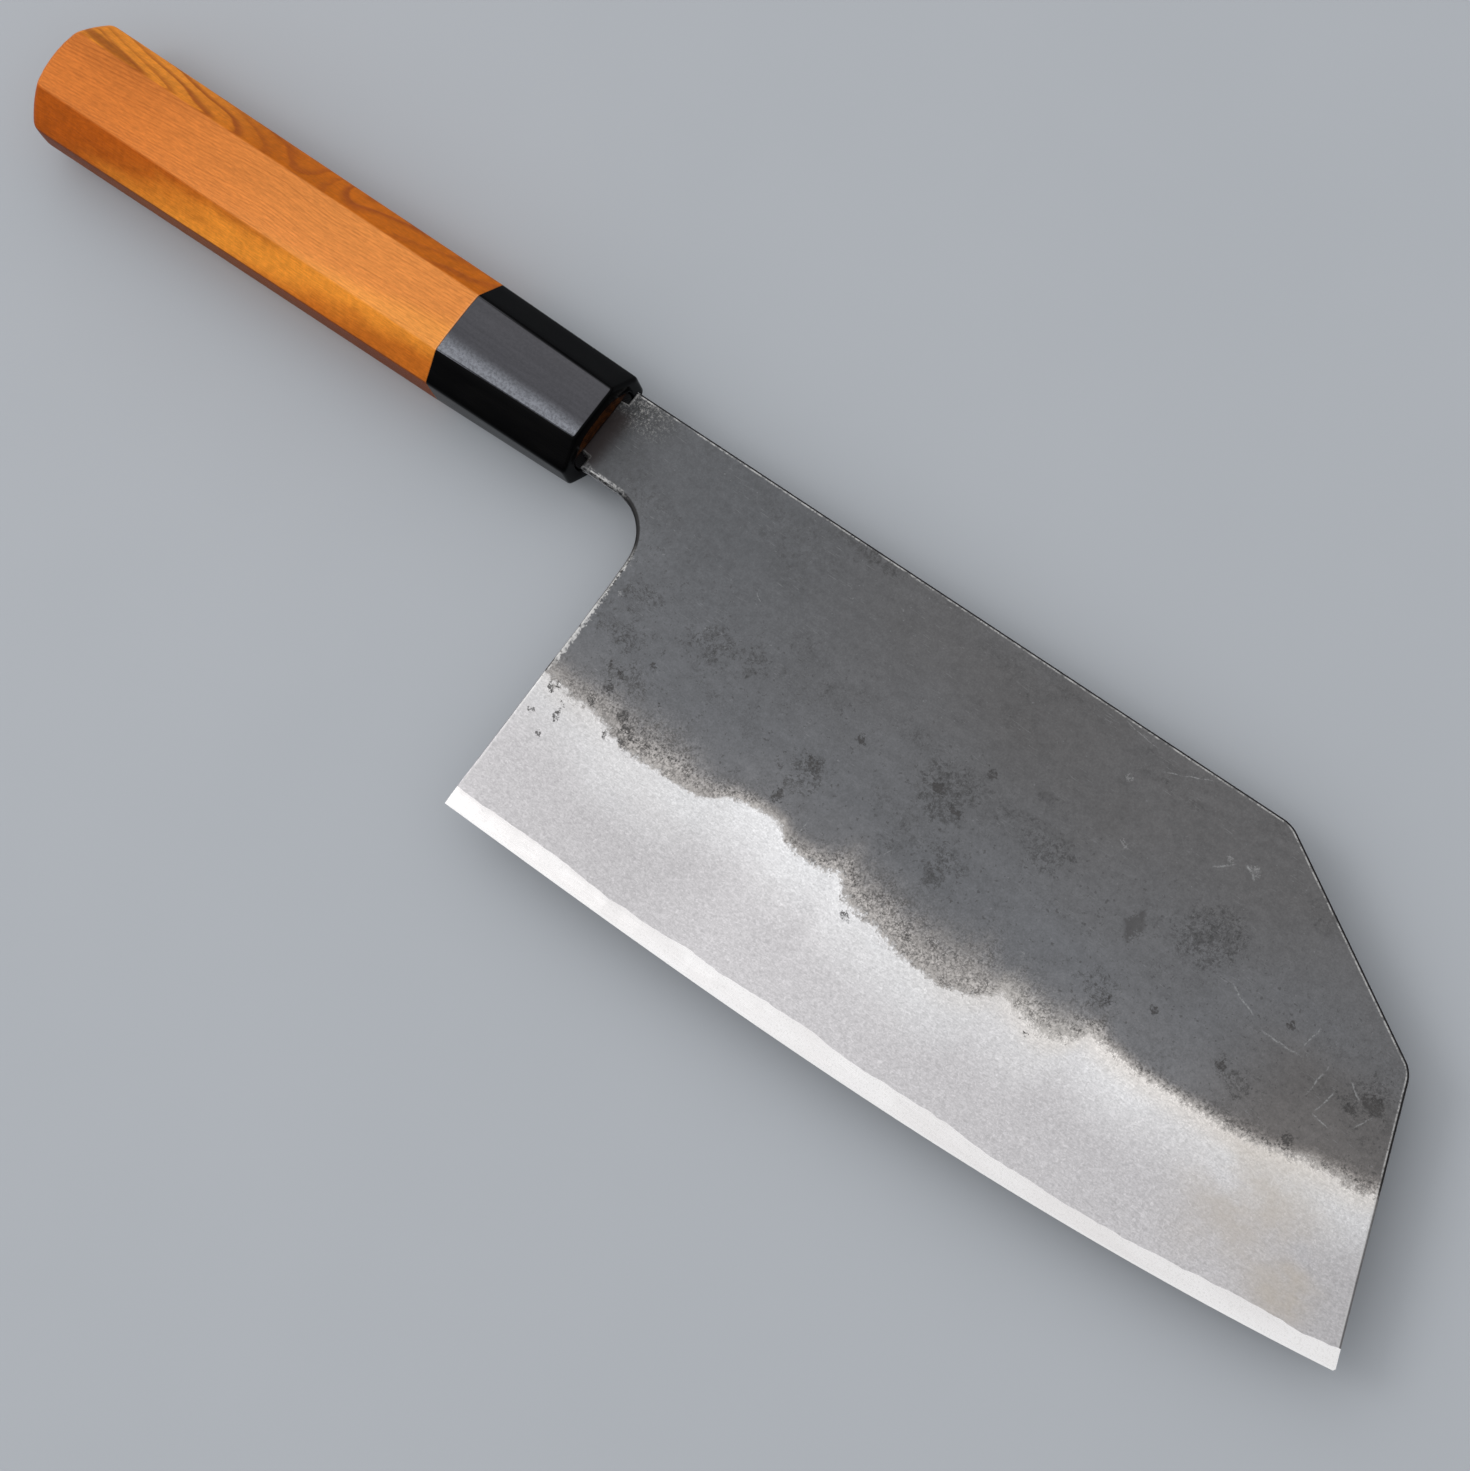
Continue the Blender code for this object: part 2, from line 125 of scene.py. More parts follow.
def plug(tree, value, socket):
    """Feeds a socket from another node, or sets it to a plain value."""
    value = value.socket if isinstance(value, Value) else value
    if isinstance(value, bpy.types.NodeSocket):
        tree.links.new(value, socket)
    else:
        socket.default_value = value


def add_node(tree, kind, inputs=None, **settings):
    """Adds a node, with its settings and its inputs as values or as links."""
    made = tree.nodes.new(kind)
    for name, value in settings.items():
        setattr(made, name, value)
    for socket, value in (inputs or {}).items():
        plug(tree, value, made.inputs[socket])
    return made


def made_value(tree, output, kind, inputs=None, **settings):
    """Adds a node and gives back one of its outputs."""
    return Value(tree, add_node(tree, kind, inputs, **settings).outputs[output])


def maths(tree, operation, *values):
    return made_value(tree, 0, "ShaderNodeMath", dict(enumerate(values)), operation=operation)


class Value:
    """A number, colour or place in a node tree. Each sum with it adds one node to its tree."""

    def __init__(self, tree, socket):
        self.tree, self.socket = tree, socket

    def calc(self, operation, *others):
        return maths(self.tree, operation, self, *others)

    def __add__(self, other):
        return self.calc("ADD", other)

    def __sub__(self, other):
        return self.calc("SUBTRACT", other)

    def __rsub__(self, other):
        return maths(self.tree, "SUBTRACT", other, self)

    def __mul__(self, other):
        return self.calc("MULTIPLY", other)

    def __truediv__(self, other):
        return self.calc("DIVIDE", other)

    def __rtruediv__(self, other):
        return maths(self.tree, "DIVIDE", other, self)

    def __pow__(self, power):
        return self.calc("POWER", power)

    def __abs__(self):
        return self.calc("ABSOLUTE")

    __radd__ = __add__

    def at_least(self, least):
        return self.calc("MAXIMUM", least)

    def at_most(self, most):
        return self.calc("MINIMUM", most)

    def between(self, low, high, start=0.0, end=1.0):
        """Goes smoothly from start to end, while this goes from low to high."""
        return made_value(self.tree, 0, "ShaderNodeMapRange", {
            "Value": self, "From Min": low, "From Max": high, "To Min": start, "To Max": end},
            interpolation_type="SMOOTHSTEP")

    def changes(self, *ranges):
        """Several smooth changes along this, multiplied together."""
        first, *others = [self.between(*numbers) for numbers in ranges]
        for other in others:
            first = first * other
        return first

    def around(self, amount):
        """Noise brought to lie around nothing, and made this strong."""
        return (self - 0.5) * amount

    def vector(self, operation, *others):
        output = "Value" if operation in ("DISTANCE", "LENGTH") else "Vector"
        return made_value(self.tree, output, "ShaderNodeVectorMath",
                          dict(enumerate((self, *others))), operation=operation)

    def split(self):
        """The three parts of a place."""
        parts = add_node(self.tree, "ShaderNodeSeparateXYZ", {0: self}).outputs
        return [Value(self.tree, part) for part in parts]


def joined(x, y, z=0.0):
    """A place, from its three parts."""
    return made_value(x.tree, 0, "ShaderNodeCombineXYZ", {0: x, 1: y, 2: z})


def scaled(vector, factor):
    """A place made larger or smaller, or a colour made lighter or darker."""
    tree = (factor if isinstance(factor, Value) else vector).tree
    return made_value(tree, 0, "ShaderNodeVectorMath", {0: vector, "Scale": factor},
                      operation="SCALE")


def tree_input(tree, name, default=None, kind="NodeSocketFloat"):
    socket = tree.interface.new_socket(name, in_out="INPUT", socket_type=kind)
    if default is not None:
        socket.default_value = default


def given_values(tree):
    """A tree's own inputs, by name."""
    sockets = tree.nodes.new("NodeGroupInput").outputs
    return {socket.name: Value(tree, socket) for socket in sockets if socket.name}


# ---------------------------------------------------------------- handle, by Geometry Nodes

def octagon_section_tree():
    """A closed octagonal section with softened corners, drawn flat."""
    tree = bpy.data.node_groups.new("octagonal section", "GeometryNodeTree")
    for name, default in (("Height", 20.0), ("Thickness", 16.0), ("Corner Cut", 5.0),
                          ("Corner Softness", 0.8)):
        tree_input(tree, name, default)
    tree.interface.new_socket("Section", in_out="OUTPUT", socket_type="NodeSocketGeometry")
    given = given_values(tree)
    drawn = add_node(tree, "GeometryNodeCurvePrimitiveQuadrilateral",
                     {"Width": given["Height"], "Height": given["Thickness"]})
    for radius, count in (("Corner Cut", 1), ("Corner Softness", 4)):
        drawn = add_node(tree, "GeometryNodeFilletCurve", {
            "Curve": drawn.outputs[0], "Radius": given[radius], "Count": count}, mode="POLY")
    finer = add_node(tree, "GeometryNodeSubdivideCurve", {"Curve": drawn.outputs[0], "Cuts": 4})
    add_node(tree, "NodeGroupOutput", {"Section": finer.outputs[0]})
    return tree


STATIONS = (("Butt", BUTT_X, BUTT_SECTION), ("Joint", JOINT_X, JOINT_SECTION),
            ("Mouth", MOUTH_X, MOUTH_SECTION))
SECTION_SIZES = ("Height", "Thickness", "Corner Cut")
HANDLE_SIZES = {
    "Butt Lift": BUTT_LIFT, "Mouth Lift": MOUTH_LIFT, "Corner Softness": CORNER_SOFTNESS,
    "Facet Crown": FACET_CROWN, "Wall": HORN_WALL, "Bore Roundness": BORE_ROUNDNESS,
    "Dome Radius": DOME_RADIUS,
    "Dome Lift": BUTT_LIFT + DOME_RADIUS * math.sin(math.radians(DOME_SLANT)),
    "Dome Rim Softness": DOME_RIM_SOFTNESS}
for station, station_x, section in STATIONS:
    HANDLE_SIZES[f"{station} X"] = station_x
    for part, size in zip(SECTION_SIZES, section):
        HANDLE_SIZES[f"{station} {part}"] = size


def handle_tree(section_tree):
    """Octagonal sections carried along a path of (place along the handle, depth below it)."""
    tree = bpy.data.node_groups.new("octagonal handle piece", "GeometryNodeTree")
    tree_input(tree, "Path", kind="NodeSocketGeometry")
    for name in HANDLE_SIZES:
        tree_input(tree, name, 0.0)
    tree_input(tree, "Finish", kind="NodeSocketMaterial")
    tree.interface.new_socket("Piece", in_out="OUTPUT", socket_type="NodeSocketGeometry")
    given = given_values(tree)
    sections = {}
    for station, _, _ in STATIONS:
        sizes = {part: given[f"{station} {part}"] for part in SECTION_SIZES}
        sizes["Corner Softness"] = given["Corner Softness"]
        sections[station] = add_node(tree, "GeometryNodeGroup", sizes,
                                     node_tree=section_tree).outputs["Section"]

    path = add_node(tree, "GeometryNodeMeshToCurve", {"Mesh": given["Path"]})
    point = made_value(tree, 0, "GeometryNodeInputPosition")
    kept = tree.nodes.new("GeometryNodeCaptureAttribute")
    plug(tree, path.outputs[0], kept.inputs[0])
    for name, part in zip(("Along", "Depth"), point.split()):
        kept.capture_items.new("FLOAT", name)
        plug(tree, part, kept.inputs[name])
    swept = add_node(tree, "GeometryNodeCurveToMesh", {
        "Curve": kept.outputs[0], "Profile Curve": sections["Joint"]})
    along, depth = Value(tree, kept.outputs["Along"]), Value(tree, kept.outputs["Depth"])
    count = made_value(tree, "Point Count", "GeometryNodeAttributeDomainSize",
                       {"Geometry": sections["Joint"]}, component="CURVE")
    number = made_value(tree, 0, "GeometryNodeInputIndex").calc("MODULO", count)

    def drawn(station):
        return made_value(tree, 0, "GeometryNodeSampleIndex", {
            "Geometry": sections[station], "Value": point, "Index": number},
            data_type="FLOAT_VECTOR", domain="POINT")

    def along_share(start, end, clamp=True, **reach):
        return made_value(tree, 0, "ShaderNodeMapRange", {
            "Value": along, "From Min": given[start], "From Max": given[end], **reach},
            clamp=clamp)

    to_butt, to_mouth = along_share("Joint X", "Butt X"), along_share("Joint X", "Mouth X")

    def carried(part):
        joint = given[f"Joint {part}"]
        return (joint + to_butt * (given[f"Butt {part}"] - joint)
                + to_mouth * (given[f"Mouth {part}"] - joint))

    flat = at_joint = drawn("Joint")
    for station, reach in (("Butt", to_butt), ("Mouth", to_mouth)):
        change = drawn(station).vector("SUBTRACT", at_joint)
        flat = flat.vector("ADD", scaled(change, reach))
    y, z, _ = flat.split()
    height, thickness = carried("Height"), carried("Thickness")
    y = y * (1.0 - depth * 2.0 / height).at_least(0.0)
    z = z * (1.0 - depth * 2.0 / thickness).at_least(0.0)

    # The bore is rounder than the outside: its corners are drawn towards an ellipse.
    reach_y = y / (height * 0.5 - depth).at_least(0.01)
    reach_z = z / (thickness * 0.5 - depth).at_least(0.01)
    out = (reach_y * reach_y + reach_z * reach_z).calc("SQRT").at_least(0.05)
    rounder = given["Bore Roundness"] * (depth / given["Wall"]).at_most(1.0)
    pull_in = 1.0 + rounder * (1.0 / out - 1.0).at_most(0.0)
    y, z = y * pull_in, z * pull_in

    # The wide facets are crowned: they fall away a little towards their long edges.
    side = ((abs(y) - CROWN_FLAT) / CROWN_REACH).at_least(0.0).at_most(1.0)
    z = z * (1.0 - given["Facet Crown"] * side * side)
    y = y + along_share("Mouth X", "Butt X", clamp=False, **{
        "To Min": given["Mouth Lift"], "To Max": given["Butt Lift"]})

    # The domed butt: no point lies further out than the dome does there.
    y = y - given["Dome Lift"]
    radius = (y * y + z * z).calc("SQRT").at_least(1e-6)
    inward = (along - given["Butt X"]).at_most(given["Dome Radius"]).at_least(0.0)
    reach = (inward * (given["Dome Radius"] * 2.0 - inward)).calc("SQRT")
    held = radius.calc("SMOOTH_MIN", reach, given["Dome Rim Softness"])
    pull = held.at_least(0.0) / radius
    y, z = y * pull + given["Dome Lift"], z * pull

    metres = scaled(joined(along, y, z).vector("SUBTRACT", ORIGIN), MM)
    piece = add_node(tree, "GeometryNodeSetPosition", {
        "Geometry": swept.outputs[0], "Position": metres})
    piece = add_node(tree, "GeometryNodeMergeByDistance", {
        "Geometry": piece.outputs[0], "Distance": 1e-6})
    piece = add_node(tree, "GeometryNodeRealizeInstances", {"Geometry": piece.outputs[0]})
    piece = add_node(tree, "GeometryNodeSetMaterial", {
        "Geometry": piece.outputs[0], "Material": given["Finish"]})
    add_node(tree, "NodeGroupOutput", {"Piece": piece.outputs[0]})
    return tree


def set_inputs(modifier, values):
    """Sets a Geometry Nodes modifier's named inputs, by their sockets' identifiers."""
    names = {item.name: item.identifier for item in modifier.node_group.interface.items_tree
             if item.item_type == "SOCKET" and item.in_out == "INPUT"}
    for name, value in values.items():
        modifier[names[name]] = value


def steps(low, high, count, power=1.0):
    """Numbers from low up to just short of high, closer together near low where power > 1."""
    return [low + (high - low) * (i / count) ** power for i in range(count)]


def quarter_turn(count):
    return [math.pi / 2 * i / count for i in range(1, count)]


def grip_path():
    """Domed butt, flat sides, joint face, tenon and the tenon's end."""
    dome_end, seat = BUTT_X + DOME_REACH, HORN_WALL + SEAT_GAP
    dome = [(x, 0.0) for x in steps(BUTT_X, dome_end, 56, 1.6)]
    sides = [(x, 0.0) for x in steps(dome_end, JOINT_X - JOINT_CREASE, 24)]
    joint = [(JOINT_X - JOINT_CREASE, 0.0), (JOINT_X, JOINT_CREASE), (JOINT_X, seat)]
    tenon = [(x, seat) for x in steps(JOINT_X, TENON_END, 12)[1:]]
    return dome + sides + joint + tenon + [(TENON_END, seat), (TENON_END, BUTT_SECTION[0])]


def ferrule_path():
    """Outside, rounded mouth rim, mouth face, bore and joint face: a closed loop."""
    outside = [(JOINT_X, JOINT_CREASE)] + [
        (x, 0.0) for x in steps(JOINT_X + JOINT_CREASE, MOUTH_X - MOUTH_RIM, 14)]
    outside.append((MOUTH_X - MOUTH_RIM, 0.0))
    rim = [(MOUTH_X - MOUTH_RIM * (1 - math.sin(a)), MOUTH_RIM * (1 - math.cos(a)))
           for a in quarter_turn(7)]
    face = [(MOUTH_X, MOUTH_RIM), (MOUTH_X, HORN_WALL - BORE_RIM)]
    bore_rim = [(MOUTH_X - BORE_RIM * (1 - math.cos(a)), HORN_WALL - BORE_RIM * (1 - math.sin(a)))
                for a in quarter_turn(4)]
    bore = [(x, HORN_WALL) for x in reversed(steps(JOINT_X, MOUTH_X - BORE_RIM, 10))]
    return outside + rim + face + bore_rim + [(MOUTH_X - BORE_RIM, HORN_WALL)] + bore


def path_mesh(name, points, closed):
    mesh = bpy.data.meshes.new(name)
    links = [(i, i + 1) for i in range(len(points) - 1)]
    if closed:
        links.append((len(points) - 1, 0))
    mesh.from_pydata([(x, depth, 0.0) for x, depth in points], links, [])
    return mesh


def mesh_from(bm, name):
    """A finished mesh, with its faces turned outwards."""
    bmesh.ops.recalc_face_normals(bm, faces=bm.faces)
    mesh = bpy.data.meshes.new(name)
    bm.to_mesh(mesh)
    bm.free()
    mesh.shade_smooth()
    mesh.set_sharp_from_angle(angle=math.radians(SHARP_ANGLE))
    return mesh


def tang_slot_cutter():
    """The tang's own shape, made larger all round by the seating gap."""
    bm = bmesh.new()
    rings = []
    for x, half_y, half_z in ((TANG_END_X - SEAT_GAP, TANG_END_HALF, TANG_TIP_HALF),
                              (SHOULDER_X + CUTTER_PAST, TANG_HALF, NECK_HALF)):
        half_y, half_z = half_y + SEAT_GAP, half_z + SEAT_GAP
        rings.append([bm.verts.new(place(x, TANG_MIDDLE + y, z)) for y, z in (
            (half_y, half_z), (-half_y, half_z), (-half_y, -half_z), (half_y, -half_z))])
    for i in range(4):
        j = (i + 1) % 4
        bm.faces.new((rings[0][i], rings[0][j], rings[1][j], rings[1][i]))
    bm.faces.new(rings[0])
    bm.faces.new(rings[1])
    return mesh_from(bm, "tang slot")


def build_handle_piece(name, tree, points, closed, material, cutter=None):
    obj = add_object(name, path_mesh(name, points, closed))
    turned = obj.modifiers.new("octagonal piece", "NODES")
    turned.node_group = tree
    set_inputs(turned, {**HANDLE_SIZES, "Finish": material})
    if cutter:
        slot = obj.modifiers.new("tang slot", "BOOLEAN")
        slot.object, slot.operation, slot.solver = cutter, "DIFFERENCE", "EXACT"
    evaluated = obj.evaluated_get(bpy.context.evaluated_depsgraph_get())
    bm = bmesh.new()
    bm.from_mesh(bpy.data.meshes.new_from_object(evaluated))
    bmesh.ops.remove_doubles(bm, verts=bm.verts, dist=1e-7)
    obj.modifiers.clear()
    obj.data = mesh_from(bm, name)
    obj.data.materials.append(material)
    return obj

# ---------------------------------------------------------------- blade, as three sheets

def rounded(before, corner, after, radius, count=14):
    """Points of the arc that rounds a corner between two straight lines."""
    before, corner, after = Vector(before), Vector(corner), Vector(after)
    back, ahead = (before - corner).normalized(), (after - corner).normalized()
    half_angle = back.angle(ahead) / 2
    middle = corner + (back + ahead).normalized() * (radius / math.sin(half_angle))
    start = corner + back * (radius / math.tan(half_angle)) - middle
    end = corner + ahead * (radius / math.tan(half_angle)) - middle
    turn = start.angle_signed(end)
    return [tuple(middle + Matrix.Rotation(-turn * i / count, 2) @ start)
            for i in range(count + 1)]


def edge_y(x):
    """Height of the cutting edge: flat at the heel, rising to the tip."""
    share = np.clip((np.asarray(x, float) - HEEL[0]) / EDGE_LENGTH, 0, None)
    return HEEL[1] + TIP_RISE * share ** BELLY_POWER


def subdivided(points, spacing):
    """The same line with points at most this far apart."""
    out = [points[0]]
    for a, b in zip(points, points[1:]):
        parts = max(1, math.ceil(math.dist(a, b) / spacing))
        out += [(a[0] + (b[0] - a[0]) * i / parts, a[1] + (b[1] - a[1]) * i / parts)
                for i in range(1, parts + 1)]
    return out


def back_line():
    """The outline without the cutting edge: from the tip over the spine and tang to the heel."""
    neck_top, neck_low = (SHOULDER_X, NECK_TOP), (SHOULDER_X, NECK_BOTTOM)
    tang = [(SHOULDER_X, TANG_MIDDLE + TANG_HALF), (TANG_END_X, TANG_MIDDLE + TANG_END_HALF),
            (TANG_END_X, TANG_MIDDLE - TANG_END_HALF), (SHOULDER_X, TANG_MIDDLE - TANG_HALF)]
    worn_tip = Vector(TIP) + (Vector(CLIP_CORNER) - Vector(TIP)).normalized() * TIP_WEAR
    line = [tuple(worn_tip)] + rounded(TIP, CLIP_CORNER, SPINE_CORNER, CLIP_RADIUS)
    line += rounded(CLIP_CORNER, SPINE_CORNER, neck_top, SPINE_RADIUS)
    line += [neck_top] + tang + [neck_low]
    line += rounded(neck_low, CHOIL_CORNER, LEAN_END, CHOIL_RADIUS)
    line += rounded(CHOIL_CORNER, LEAN_END, HEEL, LEAN_RADIUS, 4) + [HEEL]
    return subdivided(line, 1.0)


def distance_to_line(points, line):
    """Distance from each point to the nearest part of a line."""
    points, line = np.asarray(points, float), np.asarray(line, float)
    nearest = np.full(len(points), 1e9)
    for a, b in zip(line, line[1:]):
        along = b - a
        share = np.clip(((points - a) @ along) / max(along @ along, 1e-12), 0, 1)
        nearest = np.minimum(nearest, np.hypot(*(points - a - share[:, None] * along).T))
    return nearest


def inside(points, polygon):
    """Which points lie inside a closed polygon."""
    x, y = np.asarray(points, float).T
    hit = np.zeros(len(x), bool)
    for (ax, ay), (bx, by) in zip(polygon, polygon[1:] + polygon[:1]):
        crosses = (ay > y) != (by > y)
        with np.errstate(divide="ignore", invalid="ignore"):
            hit ^= crosses & (x < (bx - ax) * (y - ay) / (by - ay) + ax)
    return hit


def inset_line(line, distance):
    """A copy of the line, moved to its left by a distance."""
    line = np.asarray(line, float)
    ahead = np.diff(line, axis=0)
    ahead /= np.linalg.norm(ahead, axis=1)[:, None]
    normals = np.stack([-ahead[:, 1], ahead[:, 0]], -1)
    before, after = np.vstack([normals[:1], normals]), np.vstack([normals, normals[-1:]])
    mitre = before + after
    mitre /= np.maximum(np.sum(mitre * after, axis=1), 0.35)[:, None]
    return line + mitre * distance


class Side:
    """One side of the blade: its wavy lines and its heights."""

    def __init__(self, sign):
        self.sign = sign

    def _line(self, x, knots):
        """A wavy line of this side. The left side runs the right side's waves the other way."""
        knots = np.array(knots, float)
        above_edge = knots[:, 1] - edge_y(knots[:, 0])
        x = np.asarray(x, float)
        at = x if self.sign > 0 else HEEL[0] + TIP[0] - x
        return edge_y(x) + np.interp(at, knots[:, 0], above_edge)

    def scale_end(self, x):
        return self._line(x, SCALE_END)

    def strip_end(self, x):
        x = np.asarray(x, float)
        scallops = [sum(height * noise.noise(Vector((px / length, 0.3, seed * self.sign)))
                        for height, length, seed in SCALLOPS) for px in x.ravel()]
        return self._line(x, STRIP_END) + np.reshape(scallops, x.shape)

    def zone(self, x, y):
        """Height above the scale's lower end in fading heights, and how broken the end is."""
        at = x if self.sign > 0 else HEEL[0] + TIP[0] - x
        knots, fading, broken = np.array(ZONE, float).T
        return (y - self.scale_end(x)) / np.interp(at, knots, fading), np.interp(at, knots, broken)

    def cheek(self, x, y):
        return np.where(
            x < 0, NECK_HALF + (TANG_TIP_HALF - NECK_HALF) * np.clip(x / TANG_END_X, 0, 1),
            NECK_HALF - TAPER_TO_TIP * x - TAPER_TO_EDGE * (NECK_TOP - y))

    def bevel(self, x, y):
        """The ground bevel's plane, carried on below the strip's upper end."""
        low, high = self.strip_end(x), self.scale_end(x)
        rise = (self.cheek(x, high) - CORE_HALF) / (high - low)
        return CORE_HALF + rise * (y - low)

    def iron_height(self, x, y):
        uneven = np.array([
            sum(share * noise.noise(Vector((px / length, py / height, seed * self.sign)))
                for share, length, height, seed in HOLLOWS) for px, py in zip(x, y)])
        above = np.clip((y - self.scale_end(x)) / 4, 0, 1) * np.clip((x - 4) / 10, 0, 1)
        cheek = self.cheek(x, y) + UNEVENNESS * uneven * above
        return np.where(y > self.scale_end(x), cheek, self.bevel(x, y))

    def core_height(self, x, y):
        low, high = edge_y(x), self.strip_end(x)
        knee = low + (high - low) * STRIP_KNEE
        at_knee = self.bevel(x, knee)
        strip = EDGE_HALF + (at_knee - EDGE_HALF) * np.clip((y - low) / (knee - low), 0, 1)
        return np.where(y >= high, CORE_HALF, np.where(y > knee, self.bevel(x, y), strip))


RINGS = (0.06, 0.16, 0.3, 0.5, 0.8)                 # depths inside the rim
SHOULDER_LINES = (-1.4, -0.6, 0.0, 0.6, 1.4)        # heights above the scale's lower end


def triangulated(polygon, rings, lines, spacing):
    """Flat triangles that fill a polygon, with given lines kept and points spread between."""
    points = [tuple(p) for p in polygon]
    count = len(points)
    edges = [(i, (i + 1) % count) for i in range(count)]
    for line in rings + lines:
        start = len(points)
        points += [tuple(p) for p in line]
        edges += [(i, i + 1) for i in range(start, len(points) - 1)]
    xs, ys = zip(*polygon)
    spread = []
    for row, y in enumerate(np.arange(min(ys), max(ys), spacing * 0.87)):
        offset = spacing / 2 * (row % 2)
        spread += [(x + offset, y) for x in np.arange(min(xs), max(xs), spacing)]
    spread = np.array(spread)
    spread = spread[inside(spread, list(polygon))]
    clear = distance_to_line(spread, list(polygon) + [polygon[0]]) > RIM_CLEAR
    for line in lines:
        clear &= distance_to_line(spread, line) > LINE_CLEAR
    points += [tuple(p) for p in spread[clear]]
    verts, _, faces, _, _, _ = delaunay_2d_cdt(
        [Vector(p) for p in points], edges, [list(range(count))], 1, 1e-4)
    return np.array([tuple(v) for v in verts]), [tuple(f) for f in faces]


def sheet_mesh(name, flat, faces, low, high, attributes):
    """A closed sheet between two heights. Where the heights meet, its edge is a feather edge."""
    bm = bmesh.new()
    layers = {key: bm.verts.layers.float.new(key) for key in attributes}

    def add_vert(i, z):
        vert = bm.verts.new(place(flat[i][0], flat[i][1], z))
        for key, layer in layers.items():
            vert[layer] = float(attributes[key][i])
        return vert

    top = [add_vert(i, high[i]) for i in range(len(flat))]
    bottom = [top[i] if high[i] - low[i] < 1e-5 else add_vert(i, low[i])
              for i in range(len(flat))]
    used = {}
    for face in faces:
        bm.faces.new([top[i] for i in face])
        if any(top[i] is not bottom[i] for i in face):
            bm.faces.new([bottom[i] for i in reversed(face)])
        for a, b in zip(face, face[1:] + face[:1]):
            used[(a, b)] = True
    for a, b in used:
        if (b, a) in used:
            continue
        corners = []
        for vert in (top[b], top[a], bottom[a], bottom[b]):
            if vert not in corners:
                corners.append(vert)
        if len(corners) > 2:
            bm.faces.new(corners)
    bmesh.ops.delete(bm, geom=[v for v in bm.verts if not v.link_faces], context="VERTS")
    return mesh_from(bm, name)


def eased_radius(x, y):
    """The edges of the cheek are eased a little, and more around the neck and the choil."""
    near = np.clip((20 - x) / 2, 0, 1) * np.clip((-3 - y) / 2, 0, 1) * np.clip((y + 27) / 6, 0, 1)
    return EASED_EDGE + (EASED_CHOIL - EASED_EDGE) * near


def eased_drop(distance, radius):
    inward = np.clip(distance, 0, radius)
    return radius - np.sqrt(radius ** 2 - (radius - inward) ** 2)


def build_iron(name, side, material):
    """One iron cladding: cheek, ground bevel and a feather edge on the hard steel."""
    back = [p for p in back_line() if p[1] > side.strip_end(p[0]) + 0.25]
    tip_x = TIP[0] - (TIP[0] - CLIP_CORNER[0]) * 0.08
    slant = (TIP[1] - CLIP_CORNER[1]) / (TIP[0] - CLIP_CORNER[0])
    for _ in range(20):
        tip_x = TIP[0] + (side.strip_end(tip_x) - TIP[1]) / slant
    border_x = np.linspace(HEEL[0], float(tip_x), ALONG_COUNT)
    border = list(zip(border_x.tolist(), side.strip_end(border_x).tolist()))
    polygon = border + [tuple(map(float, p)) for p in back]
    rim = [border[-1]] + back + [border[0]]
    rings = []
    for depth in RINGS:
        ring = [tuple(p) for p in inset_line(rim, depth)]
        rings.append([p for p in ring if p[1] > side.strip_end(p[0]) + 0.1])
    x = np.arange(HEEL[0] + 0.9, TIP[0], 0.5)
    shoulder = np.stack([x, side.scale_end(x)], -1)
    keep = inside(shoulder, polygon) & (distance_to_line(shoulder, rim) > SHOULDER_CLEAR)
    lines = []
    for shift in SHOULDER_LINES:
        line = shoulder + (0, shift)
        clear = keep & (distance_to_line(line, rim) > SHOULDER_CLEAR)
        lines.append([tuple(p) for p in line[clear]])
    flat, faces = triangulated(polygon, rings, lines, IRON_SPACING)
    x, y = flat.T
    to_rim = distance_to_line(flat, rim)
    thick = side.iron_height(x, y) - CORE_HALF
    thick = np.where(y <= side.strip_end(x) + 1e-3, 0, np.maximum(thick, 0))
    thick = thick - eased_drop(to_rim, eased_radius(x, y)) * np.clip(thick / 0.9, 0, 1)
    high = CORE_HALF + thick
    low = np.full(len(x), CORE_HALF)
    if side.sign < 0:
        low, high = -high, -low
    fading, broken = side.zone(x, y)
    mesh = sheet_mesh(name, flat, faces, low, high, {
        "above_border": y - side.scale_end(x), "rim": to_rim,
        "border_zone": fading, "border_broken": broken})
    mesh.materials.append(material)
    return add_object(name, mesh)


def build_core(name, right, left, material):
    """The hard steel: a thin sheet that shows as the strip along the cutting edge."""
    back = back_line()
    x = np.linspace(HEEL[0], TIP[0] - TIP_WEAR, ALONG_COUNT + 1)[1:]
    edge = list(zip(x.tolist(), edge_y(x).tolist()))
    polygon = edge + back
    lines = []
    for side in (right, left):
        line = np.stack([x, side.strip_end(x)], -1)
        knee = np.stack([x, edge_y(x) + (side.strip_end(x) - edge_y(x)) * STRIP_KNEE], -1)
        for drawn in (line, knee):
            keep = inside(drawn, polygon) & (distance_to_line(drawn, back) > 0.3)
            lines.append([tuple(p) for p in drawn[keep]])
    flat, faces = triangulated(polygon, [], lines, CORE_SPACING)
    x, y = flat.T
    mesh = sheet_mesh(name, flat, faces, -left.core_height(x, y), right.core_height(x, y), {
        "above_edge": y - edge_y(x)})
    mesh.materials.append(material)
    return add_object(name, mesh)


def add_object(name, data):
    obj = bpy.data.objects.new(name, data)
    bpy.context.scene.collection.objects.link(obj)
    return obj


# ---------------------------------------------------------------- materials

